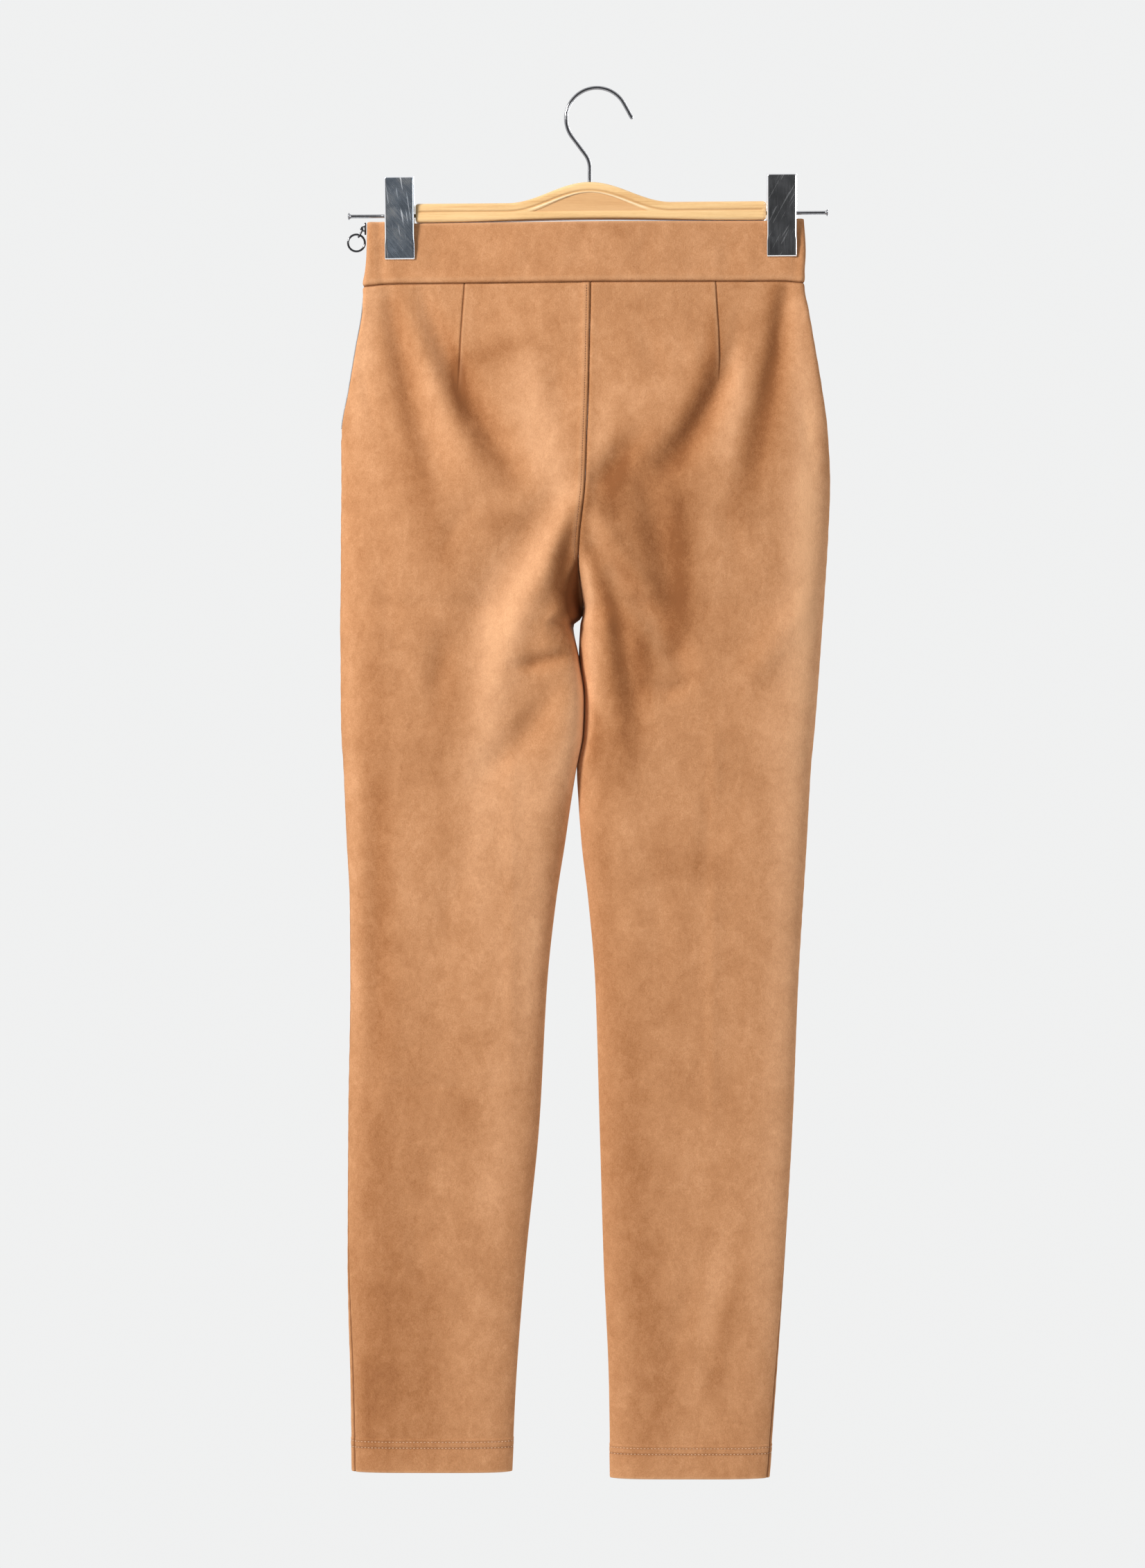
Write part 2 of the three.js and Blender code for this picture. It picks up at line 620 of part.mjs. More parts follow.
const hump = (x, width) => Math.cos((Math.PI / 2) * clamp(Math.abs(x) / width, 0, 1)) ** 2;
const HUMP = { height: 16, width: 64 }; // the rise in the middle of the bar
const ARCH = { height: 1.8, width: 125 }; // and the slight arch under it
const PANEL = { half: 51, height: 15.6, foot: 1.5, depth: 0.8 }; // the sunk field in the rise

// Extrudes an outline in the XZ plane along Y, centred on y.
function plate(points, thickness, y, bevel = 0) {
  const shape = new THREE.Shape(points.map((p) => new THREE.Vector2(p[0], p[1])));
  const geometry = new THREE.ExtrudeGeometry(shape, {
    depth: thickness - 2 * bevel,
    bevelEnabled: bevel > 0,
    bevelThickness: bevel,
    bevelSize: bevel,
    bevelOffset: -bevel,
    bevelSegments: 2,
  });
  return geometry.rotateX(Math.PI / 2).translate(0, y + thickness / 2 - bevel, 0);
}

function cylinderAlongX(radius, from, to, sides = 16) {
  const geometry = new THREE.CylinderGeometry(radius, radius, to - from, sides);
  return geometry.rotateZ(Math.PI / 2).translate((from + to) / 2, 0, 0);
}

// The bar in the hanger's own frame: X from the stem, Z from the rod.
function woodenBar() {
  const [left, right] = WOOD_ENDS.map((x) => x - STEM_X);
  const middle = ROD_DROP - WOOD_MID;
  const corner = 2.5;
  const top = (x) => middle + WOOD_HEIGHT / 2 + HUMP.height * hump(x, HUMP.width);
  const foot = (x) => middle - WOOD_HEIGHT / 2 + ARCH.height * hump(x, ARCH.width);
  const across = [left + corner, left + 30, ...evenly(-64, 64, 16), right - 30, right - corner];
  const outlinePoints = [
    [left, middle - WOOD_HEIGHT / 2 + corner],
    [left, middle + WOOD_HEIGHT / 2 - corner],
    ...across.map((x) => [x, top(x)]),
    [right, middle + WOOD_HEIGHT / 2 - corner],
    [right, middle - WOOD_HEIGHT / 2 + corner],
    ...[...across].reverse().map((x) => [x, foot(x)]),
  ];
  let bar = toSolid(plate(outlinePoints, WOOD_THICK, 0, 2));
  const arc = evenly(-PANEL.half, PANEL.half, 14);
  const field = [
    ...arc.map((x) => [x, PANEL.foot + PANEL.height * hump(x, PANEL.half) ** 0.8]),
    [0, PANEL.foot - 0.1],
  ];
  for (const y of [-WOOD_THICK / 2, WOOD_THICK / 2]) {
    bar = bar.subtract(toSolid(plate(field, 2 * PANEL.depth, y)));
  }
  const bore = ROD_RADIUS + SEAM_GAP;
  const seat = ROD_IN_WOOD + 0.5;
  bar = bar.subtract(toSolid(cylinderAlongX(bore, left - 1, left + seat)));
  bar = bar.subtract(toSolid(cylinderAlongX(bore, right - seat, right + 1)));
  const holeDepth = 40; // it runs out through the top
  const stemHole = new THREE.CylinderGeometry(WIRE / 2 + SEAM_GAP, WIRE / 2 + SEAM_GAP, holeDepth, 16);
  stemHole.rotateX(Math.PI / 2).translate(0, 0, ROD_DROP - STEM_END - SEAM_GAP + holeDepth / 2);
  return toGeometry(bar.subtract(toSolid(stemHole)));
}

// A rod with a flat head, from its head to its end inside the wood.
function rodGeometry(head, end) {
  const length = Math.abs(end - head);
  const profile = [
    [0, 0],
    [ROD_HEAD.radius, 0],
    [ROD_HEAD.radius, ROD_HEAD.rim],
    [ROD_RADIUS, ROD_HEAD.length],
    [ROD_RADIUS, length],
    [0, length],
  ].map((p) => new THREE.Vector2(p[0], p[1]));
  const geometry = new THREE.LatheGeometry(profile, 14);
  geometry.rotateZ(head < end ? -Math.PI / 2 : Math.PI / 2);
  return positionsOnly(geometry.translate(head, 0, 0));
}

// One jaw: a leaning plate with two side flanges that the rod passes through.
function clipJaw(width, towards) {
  const bottom = -CLIP_BELOW;
  const lean = (z) => -(PINCH + SEAM_GAP + SHEET + CLIP_PLAY) - (z - bottom) * CLIP_LEAN;
  // Seen along the rod: the plate's face on one side and the flanges' edge on the other, which
  // bulges round the rod and keeps off the waistband below it.
  const side = [
    [lean(CLIP_ABOVE), CLIP_ABOVE],
    [lean(CLIP_ABOVE) + 3.5, CLIP_ABOVE],
    [-3.6, 10],
    [3, 3.4],
    [3, -2.4],
    [1, -4.2],
    [1 - PINCH - 2, -4.2],
    [-PINCH - 0.7, -14],
    [lean(bottom) + 1.1, bottom + 12],
    [lean(bottom) + 1.1, bottom],
    [lean(bottom), bottom],
  ];
  const hollow = [
    [lean(CLIP_ABOVE + 1) + SHEET, CLIP_ABOVE + 1],
    [12, CLIP_ABOVE + 1],
    [12, bottom - 1],
    [lean(bottom - 1) + SHEET, bottom - 1],
  ];
  const prism = (points, size) => {
    const shape = new THREE.Shape(points.map((p) => new THREE.Vector2(-towards * p[0], p[1])));
    const geometry = new THREE.ExtrudeGeometry(shape, { depth: size, bevelEnabled: false });
    // The outline's x becomes Y and its y becomes Z; the extrusion runs along X.
    const turn = new THREE.Matrix4().set(0, 0, 1, -size / 2, 1, 0, 0, 0, 0, 1, 0, 0, 0, 0, 0, 1);
    return toSolid(geometry.applyMatrix4(turn));
  };
  const eye = toSolid(cylinderAlongX(ROD_RADIUS + SEAM_GAP, -width, width));
  return toGeometry(prism(side, width).subtract(prism(hollow, width - 2 * SHEET)).subtract(eye));
}

function springGeometry() {
  const [inner, outer, half] = [ROD_RADIUS + 0.7, ROD_RADIUS + 2.4, 6];
  const profile = [
    [inner, -half],
    [outer, -half],
    [outer, half],
    [inner, half],
    [inner, -half],
  ].map((p) => new THREE.Vector2(p[0], p[1]));
  return positionsOnly(new THREE.LatheGeometry(profile, 16).rotateZ(Math.PI / 2));
}

// ---- The zip's slider and pull ---------------------------------------------------------------

const PULL = {
  y: 1.5,
  pivot: { x: -182.6, drop: 108.2 }, // where the link hangs in the slider's bail
  linkLean: 26, // degrees out from the plumb line, where the ring leans on the cloth's edge
  linkLength: 7.1,
  linkHalf: 2,
  linkWire: 0.55,
  ringLean: 20,
  ringRadius: 6.6,
  ringWire: 0.8,
  ringHang: 4.9, // from the link's lower end to the ring's centre
  bailReach: 2.9, // how far the bail stands off the slider, and half its height
  bailHalf: 1.7,
  bailWire: 0.55,
  sliderFace: 1.5, // from the pivot to the slider's body
  sliderSize: [1.3, 6.4, 9.5],
};
const leaning = (degrees) => {
  const angle = degToRad(degrees);
  return new THREE.Vector3(-Math.sin(angle), 0, -Math.cos(angle));
};
const pivot = new THREE.Vector3(PULL.pivot.x, PULL.y, -PULL.pivot.drop);
const linkEnd = pivot.clone().addScaledVector(leaning(PULL.linkLean), PULL.linkLength);
const ringCentre = linkEnd.clone().addScaledVector(leaning(PULL.ringLean), PULL.ringHang);

class Stadium extends THREE.Curve {
  constructor(half, length, down) {
    super();
    Object.assign(this, { half, length, down });
  }
  // Two half circles about the ends joined by straight sides, in the plane of Y and "down".
  getPoint(t) {
    const turn = Math.PI * this.half;
    const whole = 2 * (turn + this.length);
    let at = (t % 1) * whole;
    const place = (across, along) =>
      new THREE.Vector3(0, across, 0).addScaledVector(this.down, along);
    if (at < this.length) return place(this.half, at);
    at -= this.length;
    if (at < turn) {
      const angle = at / this.half;
      return place(this.half * Math.cos(angle), this.length + this.half * Math.sin(angle));
    }
    at -= turn;
    if (at < this.length) return place(-this.half, this.length - at);
    const angle = (at - this.length) / this.half;
    return place(-this.half * Math.cos(angle), -this.half * Math.sin(angle));
  }
}

// A closed loop of wire: sections round a closed curve that lies in a plane with this normal.
function loopGeometry(curve, planeNormal, radius, sides, steps) {
  const rings = [];
  for (let i = 0; i < steps; i++) {
    const t = i / steps;
    const centre = curve.getPoint(t);
    const ahead = curve.getPoint((t + 1e-3) % 1).sub(curve.getPoint((t - 1e-3 + 1) % 1));
    const across = ahead.normalize().cross(planeNormal);
    rings.push(
      Array.from({ length: sides }, (_, k) => {
        const angle = (2 * Math.PI * k) / sides;
        return centre
          .clone()
          .addScaledVector(across, radius * Math.cos(angle))
          .addScaledVector(planeNormal, radius * Math.sin(angle));
      }),
    );
  }
  const index = [];
  for (let i = 0; i < steps; i++) {
    for (let k = 0; k < sides; k++) {
      const [a, b] = [i * sides + k, i * sides + ((k + 1) % sides)];
      const [c, d] = [((i + 1) % steps) * sides + k, ((i + 1) % steps) * sides + ((k + 1) % sides)];
      index.push(a, c, b, b, c, d);
    }
  }
  const geometry = new THREE.BufferGeometry().setFromPoints(rings.flat());
  geometry.setIndex(index);
  return facingOut(geometry);
}

function linkGeometry() {
  const down = leaning(PULL.linkLean);
  // The link's end wires pass through the pivot and the link's lower end.
  const straight = PULL.linkLength - 2 * PULL.linkHalf;
  const curve = new Stadium(PULL.linkHalf, straight, down);
  const flatNormal = new THREE.Vector3(0, 1, 0).cross(down).normalize();
  const start = pivot.clone().addScaledVector(down, PULL.linkHalf);
  return loopGeometry(curve, flatNormal, PULL.linkWire, 6, 22).translate(start.x, start.y, start.z);
}

function ringGeometry() {
  const geometry = new THREE.TorusGeometry(PULL.ringRadius, PULL.ringWire, 6, 28);
  geometry.rotateX(Math.PI / 2).translate(ringCentre.x, ringCentre.y, ringCentre.z);
  return positionsOnly(geometry);
}

// The slider's body rides outside the zip, and its bail holds the link.
function sliderGeometry() {
  const [thick, across, tall] = PULL.sliderSize;
  const face = PULL.pivot.x + PULL.sliderFace;
  const body = new THREE.BoxGeometry(thick, across, tall);
  body.translate(face + thick / 2, PULL.y, -PULL.pivot.drop);
  const reach = 0.6; // the bail's feet run this far into the body
  const foot = 0.1; // and are this share of its wire
  class Bail extends THREE.Curve {
    getPoint(t) {
      const sunk = reach * Math.max(0, 1 - Math.min(t, 1 - t) / foot);
      const angle = Math.PI * clamp((t - foot) / (1 - 2 * foot), 0, 1);
      return new THREE.Vector3(
        face + sunk - PULL.bailReach * Math.sin(angle),
        PULL.y,
        -PULL.pivot.drop + PULL.bailHalf * Math.cos(angle),
      );
    }
  }
  return toGeometry(toSolid(body).add(toSolid(wireGeometry(new Bail(), PULL.bailWire, 8, 14))));
}

// ---- The object ------------------------------------------------------------------------------

const suede = () => new THREE.MeshStandardMaterial({ color: 0xb9804f, roughness: 0.95, metalness: 0 });
const chrome = () => new THREE.MeshStandardMaterial({ color: 0xc9cbd0, roughness: 0.12, metalness: 1 });
const wood = () => new THREE.MeshStandardMaterial({ color: 0xe3b878, roughness: 0.55, metalness: 0 });
const tape = () => new THREE.MeshStandardMaterial({ color: 0x9c6b42, roughness: 0.9, metalness: 0 });

function named(name, geometry, material) {
  const mesh = new THREE.Mesh(geometry, material);
  mesh.name = name;
  return mesh;
}

const trousers = new THREE.Group();
for (const face of ["back", "front"]) {
  trousers.add(named(`waistband_${face}`, waistband(face), suede()));
  for (const side of ["left", "right"]) {
    for (const { name, drops } of stretchDrops(side)) {
      trousers.add(named(`${face}_${side}_${name}`, legPanel(side, face, drops), suede()));
    }
  }
}
trousers.add(named("zip_tape", zipTape(), tape()));
trousers.add(named("zip_slider", sliderGeometry(), chrome()));
trousers.add(named("zip_link", linkGeometry(), chrome()));
trousers.add(named("zip_ring", ringGeometry(), chrome()));

const hanger = new THREE.Group();
hanger.position.set(STEM_X, 0, -ROD_DROP);
hanger.rotation.y = -Math.atan(TILT);
hanger.add(named("hanger_bar", woodenBar(), wood()));
["left", "right"].forEach((side, i) => {
  const end = WOOD_ENDS[i] - STEM_X + (i ? -ROD_IN_WOOD : ROD_IN_WOOD);
  hanger.add(named(`rod_${side}`, rodGeometry(ROD_ENDS[i] - STEM_X, end), chrome()));
  const clip = new THREE.Group();
  clip.position.x = CLIP_X[i] - STEM_X;
  clip.add(named(`clip_${side}_outer`, clipJaw(CLIP_WIDTH, -1), chrome()));
  clip.add(named(`clip_${side}_inner`, clipJaw(CLIP_WIDTH - 2 * SHEET - JAW_NESTING, 1), chrome()));
  clip.add(named(`clip_${side}_spring`, springGeometry(), chrome()));
  hanger.add(clip);
});

const hook = named("hook", positionsOnly(wireGeometry(hookPath(), WIRE / 2, 10, 44)), chrome());

const part = new THREE.Group();
part.add(trousers, hanger, hook);
export default part;
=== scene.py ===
"""Slim suede trousers hanging by their waistband from a wooden clip hanger.

The lengths below are millimetres, turned into metres where a mesh is made. +Z is up, -Y is the
side of the trousers' back and -X the wearer's left, where the side zip is. "drop" is a distance
straight down from the origin, which is the inner top of the hanger's hook.
"""

import math

import bpy
import numpy as np
from mathutils import Matrix, Vector


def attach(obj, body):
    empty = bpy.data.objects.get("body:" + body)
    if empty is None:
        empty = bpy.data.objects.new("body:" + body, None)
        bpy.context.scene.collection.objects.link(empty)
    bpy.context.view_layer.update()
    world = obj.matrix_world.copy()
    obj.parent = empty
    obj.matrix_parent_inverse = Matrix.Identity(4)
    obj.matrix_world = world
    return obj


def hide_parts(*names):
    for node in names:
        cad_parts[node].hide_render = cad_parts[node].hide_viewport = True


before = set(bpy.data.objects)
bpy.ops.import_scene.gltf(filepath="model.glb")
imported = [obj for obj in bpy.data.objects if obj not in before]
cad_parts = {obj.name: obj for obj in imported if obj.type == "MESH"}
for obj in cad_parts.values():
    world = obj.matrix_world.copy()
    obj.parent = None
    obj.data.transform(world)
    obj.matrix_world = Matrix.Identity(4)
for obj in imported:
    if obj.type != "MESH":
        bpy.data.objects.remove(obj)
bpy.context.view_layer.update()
MM = 0.001
SIDES, FACES = ("left", "right"), ("back", "front")

# ---- Sizes of the garment ----
CLOTH = 1.2  # one layer of suede
BAND_CLOTH = 2.4  # the waistband is folded double
HEM_CLOTH = 1.8  # the hem is turned up once
SEAM_GAP = 0.02  # half the gap between two panels, at the bottom of their seam

BAND_TOP = 102  # drop of the waistband's top edge beside the clips
BAND_SAG = 1.5  # it sags this much between them
WAIST = 150.7  # drop of the seam under the waistband
WAIST_DROOP = 1.6  # the same seam hangs this much lower at the side seams
DROOP_AT = {"left": (1, 13), "right": (0.8, 12)}  # the share of that on each side, and its width
PINCH = 3.6  # half the thickness of the waist where a clip grips it
BOW = 5  # how far each side of the waist stands off that between the clips
WAIST_OPENS_AT = 330  # drop by which the hips have their full depth
CROTCH = 410
CLEFT = {"back": 352, "front": 340}  # drop where the middle seam starts to turn under
INNER_THIGH = {"reach": 17, "edge": 0.52, "from": 430, "to": 640}  # the legs' tighter inner edge
HEM = {"left": 1076, "right": 1081}
HEM_HEIGHT = 26
EDGE_FADE = 14  # folds die out this near a side edge
LEG_FORM = (290, 480)  # the hips' section turns into the leg's between these drops
SECTION_POWER = 4.2  # flatness of a section: 2 is an ellipse

ZIP_END = 267
ZIP_WIDTH = 6
ZIP_SINK = 0.5
TAPE_WIDTH = 12  # of each woven tape as it is cut, most of it out of sight under the panels
TAPE_GRID = (110, 17)
TAPE_RIB = {"height": 0.06, "pitch": 1.1}

TILT = 0.0079  # the hanger's rise per millimetre towards +X
TILT_ENDS = 620

# ---- Sizes of the hanger ----
WIRE = 3
HOOK_RADIUS = 24.1
STEM_X = -5.6
STEM_END = 88  # drop of the stem's lower end, inside the wood
HOOK_TIP = 13.7
ROD_RADIUS = 1.4
ROD_DROP = 97.3
ROD_ENDS = {"left": -194.1, "right": 180.6}
ROD_IN_WOOD = 20
WOOD_ENDS = {"left": -141.2, "right": 131.6}
WOOD_THICK = 12
WOOD_MID = 95.7
WOOD_HEIGHT = 14.6
CLIP_X = {"left": -153.6, "right": 143.6}
CLIP_WIDTH = 23.4
CLIP_ABOVE = 29
CLIP_BELOW = 34.5
SHEET = 0.9


def points_of(text):
    """Points as tuples of numbers, from text with a comma between them."""
    return [tuple(map(float, point.split())) for point in text.split(",")]


def strokes(text):
    """Lines of points, from text with a semicolon between the lines."""
    return [points_of(line) for line in text.split(";")]


def table(names, text):
    """Rows of named numbers, from text with a comma between the rows."""
    return [dict(zip(names.split(), row)) for row in points_of(text)]


# The outline of both legs and half the garment's depth on each side, down from the waist seam.
# Above the crotch leftIn and rightIn are the middle seam.
OUTLINE = table("drop leftOut leftIn rightIn rightOut back front", """
    102 -179 -5.1 -5.1 161.4 6 6,
    127 -179.6 -5.1 -5.1 162.9 6 6,
    150.7 -182 -5.1 -5.1 161.6 9 7,
    172.5 -183.5 -5.4 -5.4 165.2 13 10,
    199.5 -188.2 -6 -6 169.8 17 13,
    231.9 -193.6 -6.6 -6.6 175.2 20 15,
    266.5 -199.2 -7.9 -7.9 179.8 22 17,
    307.5 -199 -9.4 -9.4 181.7 24 18,
    350.7 -199.4 -13.9 -13.9 180.1 24 19,
    366 -199.4 -14.6 -14.6 179.2 24 19,
    393 -199.6 -11.8 -11.8 177.4 23 19,
    404 -199.8 -10.3 -10.3 176.7 22 19,
    410 -199.9 -11.2 -11.2 176.3 22 19,
    417 -200 -18.4 -12.8 175.7 22 19,
    442.5 -199.6 -14 -13.9 173.9 21 19,
    474.9 -199.5 -10.1 -10.5 171.5 20 19,
    501.9 -199 -11 -11.4 169.3 20 18,
    526.5 -197.4 -15.5 -15.7 166.9 19 18,
    554.7 -196.2 -20 -14.4 165.2 18 17,
    588.3 -194.7 -24.9 -11.9 163.4 18 17,
    631.5 -192.5 -31.6 -6.8 160.7 17 16,
    696.3 -192 -38.6 -1.4 156.9 16 16,
    804.3 -193.6 -44.6 1.9 152.6 15 15,
    912.3 -194.1 -55.4 5.1 146.1 13 14,
    1009.5 -191.9 -62.9 9.2 139.3 12 12,
    1085 -190.7 -66.3 10.2 134 11 11
""")

# Between the thighs the left leg's inner edge sways this far towards the back, and the right leg's
# as far towards the front, so that one lies over the other. The crotch itself lies forward.
INNER_EDGE = table("drop sway forward", f"""
    345 0 0, 380 0 5, {CROTCH} 0 11, 442 3 6, 475 3.5 1.5, 520 3.3 0, 580 0 0
""")
SWAY_WIDTH = 42  # and it dies out this far into the leg
FORWARD_WIDTH = 24
LEFT_FLANK = {"at": 397, "reach": 16, "wider": 15, "power": 1.5}  # its back slopes in more there

# How far the side seams lie round from the outermost edge, towards the back.
SEAMS = table("drop left right", """
    102 -.6 0, 150 -.4 0, 175 1.2 0, 400 1.2 0, 850 1.5 .5, 1000 5 3, 1085 5.5 4.5
""")

# Soft troughs (negative height) and ridges in the cloth. Each is a line of points with the fold's
# half-width and height there: x, drop, width, height. A line that runs on is set in.
FOLDS = {
    "back": strokes("""
    -162 156 6 -1.3, -158 180 8 -3.4, -150 215 9 -4.3, -144 243 10 -3.9, -130 280 12 -3.4,
      -115 316 14 0;
    -150 168 7 .5, -138 200 9 2.3, -122 240 11 3, -102 280 13 2.2, -84 316 14 0;
    -137 158 6 -1.3, -126 184 9 -3.9, -112 216 10 -6.2, -98 246 11 -7.3, -82 271 12 -6.5,
      -66 294 13 -4.4, -50 318 14 0;
    -38 322 12 -1.3, -58 352 14 -2.9, -88 402 15 -2.9, -108 446 14 0;
    -8 306 10 1, -22 338 11 3.9, -40 378 12 4.4, -60 414 13 3.4, -78 468 14 2.3, -86 500 14 0;
    -16 336 6 -1.6, -24 362 8 -4.2, -31 388 8 -3, -36 408 7 0;
    -64 450 5 -.8, -50 448 6 -3.4, -34 444 6 -3.6, -18 440 6 -1.6;
    -34 470 9 -1.6, -52 498 12 -3.9, -76 522 12 -3.1, -98 552 13 0;
    -118 412 10 0, -121 450 10 -2.5, -126 496 10 0;
    -172 520 8 0, -171 600 9 -2, -170 720 9 -1.6, -173 790 8 0;
    -38 198 9 0, -29 230 10 -2.1, -22 270 10 0;
    148 156 6 -1.6, 144 180 8 -3.9, 141 206 9 -4.4, 135 234 10 -3.9, 127 260 11 -3.4,
      122 290 12 -2.6, 112 328 13 0;
    104 206 7 -1, 96 230 9 -6, 84 254 10 -7.5, 70 276 11 -7, 54 293 12 -4.7, 38 304 12 0;
    32 272 9 -1.3, 18 288 10 -4.2, 3 306 10 -3.6, -4 320 9 0;
    34 300 10 -1.3, 46 340 12 -4.2, 56 385 12 -3.4, 60 420 12 0;
    -4 322 7 1, 10 350 9 2.9, 32 384 9 2.6, 50 418 9 0;
    0 360 8 -1.8, 20 384 9 -4.2, 44 412 10 -4.2, 62 438 11 -4.7, 74 466 11 0;
    10 384 8 -1.6, 19 425 9 -4.2, 28 465 10 -4.2, 35 514 10 0;
    42 465 6 -1, 56 469 7 -2.9, 78 465 7 0;
    106 472 10 0, 128 446 12 2.2, 160 404 12 1.6, 173 384 10 0;
    86 536 9 0, 89 580 10 -1.7, 88 636 9 0
    """),
    "front": strokes("""
    -160 158 9 -1, -142 220 12 -3.6, -118 288 13 -3.6, -84 342 13 0;
    -20 322 11 .8, -40 356 12 2.9, -66 398 12 0;
    -26 352 8 -1, -36 392 10 -3.6, -46 430 10 0;
    -62 452 7 0, -40 446 7 -2.6, -20 440 7 -1;
    138 160 9 -1, 122 220 12 -3.6, 98 288 13 -3.6, 48 352 13 0;
    -2 340 9 .8, 16 370 11 2.9, 38 398 11 0;
    0 378 8 -1, 9 425 10 -3.9, 18 480 10 0;
    40 470 8 0, 58 466 8 -2.1, 78 460 8 0;
    -170 540 9 0, -168 640 10 -1.8, -171 770 9 0;
    88 540 9 0, 90 590 10 -1.6, 88 650 9 0
    """),
}

# Fainter creases that only show in the cloth's face, written as the folds are.
CREASES = {
    "back": strokes("""
    -66 480 5 0, -66 530 5 .6, -67 740 5 .6, -68 800 5 0;
    91 470 5 0, 91 520 5 .6, 89 780 5 .6, 88 850 5 0;
    -188 770 5 -.3, -130 776 5 -.6, -60 779 5 0;
    78 905 8 0, 68 950 9 -.8, 52 1012 9 0;
    58 956 8 0, 72 986 8 .6, 92 1024 8 0;
    -152 850 10 0, -138 910 10 -.7, -116 1000 10 0;
    -94 556 12 0, -110 620 12 -.8, -130 710 12 0;
    38 550 11 0, 46 640 11 -.8, 54 730 11 0;
    -176 320 9 0, -164 390 9 -1.1, -148 480 9 0;
    -186 205 4 0, -178 240 4 -.9, -171 270 4 0;
    30 165 8 0, 42 204 8 -.9, 54 240 8 0;
    66 170 6 0, 76 206 6 .7, 80 236 6 0;
    113 165 6 0, 108 200 6 -.9, 102 236 6 0;
    158 230 6 0, 163 268 6 -.9, 169 306 6 0;
    -90 316 9 0, -112 346 9 -1.1, -130 376 9 0;
    86 314 9 0, 102 344 9 -1, 120 376 9 0;
    26 396 5 0, 38 401 5 -.8, 50 405 5 0
    """),
    "front": strokes("""
    -66 460 5 0, -66 520 5 .6, -67 780 5 .6, -68 840 5 0;
    91 460 5 0, 91 520 5 .6, 89 780 5 .6, 88 850 5 0;
    -186 762 5 -.3, -130 768 5 -.6, -62 771 5 0;
    68 890 9 0, 58 945 9 -.8, 46 1006 9 0;
    -142 870 10 0, -128 930 10 -.7, -110 1006 10 0;
    -176 320 9 0, -164 390 9 -1.1, -148 480 9 0;
    124 420 10 0, 132 490 10 -1, 140 570 10 0;
    -62 170 7 0, -50 208 7 -.9, -38 246 7 0;
    28 165 8 0, 41 204 8 -.9, 54 240 8 0;
    -94 556 12 0, -110 620 12 -.8, -130 710 12 0;
    38 550 11 0, 46 640 11 -.8, 54 730 11 0
    """),
}

# The waistband's soft creases, across it from its top edge to its seam.
BAND_CREASES = strokes("""
    -170 102 2.4 -.9, -167 152 2.4 -.9;
    -161 122 4 0, -158 152 4 .6;
    -129 106 7 0, -126 128 7 -.6, -121 152 7 0;
    -59 104 9 0, -64 128 9 .6, -66 150 9 0;
    -14 106 7 0, -12 128 7 -.5, -10 150 7 0;
    33 102 9 0, 37 124 9 -.6, 41 148 9 0;
    97 106 7 0, 101 130 7 -.8, 104 152 7 0;
    120 112 6 0, 118 150 6 .6;
    156 106 3 -.3, 154 150 3 -.6
""")

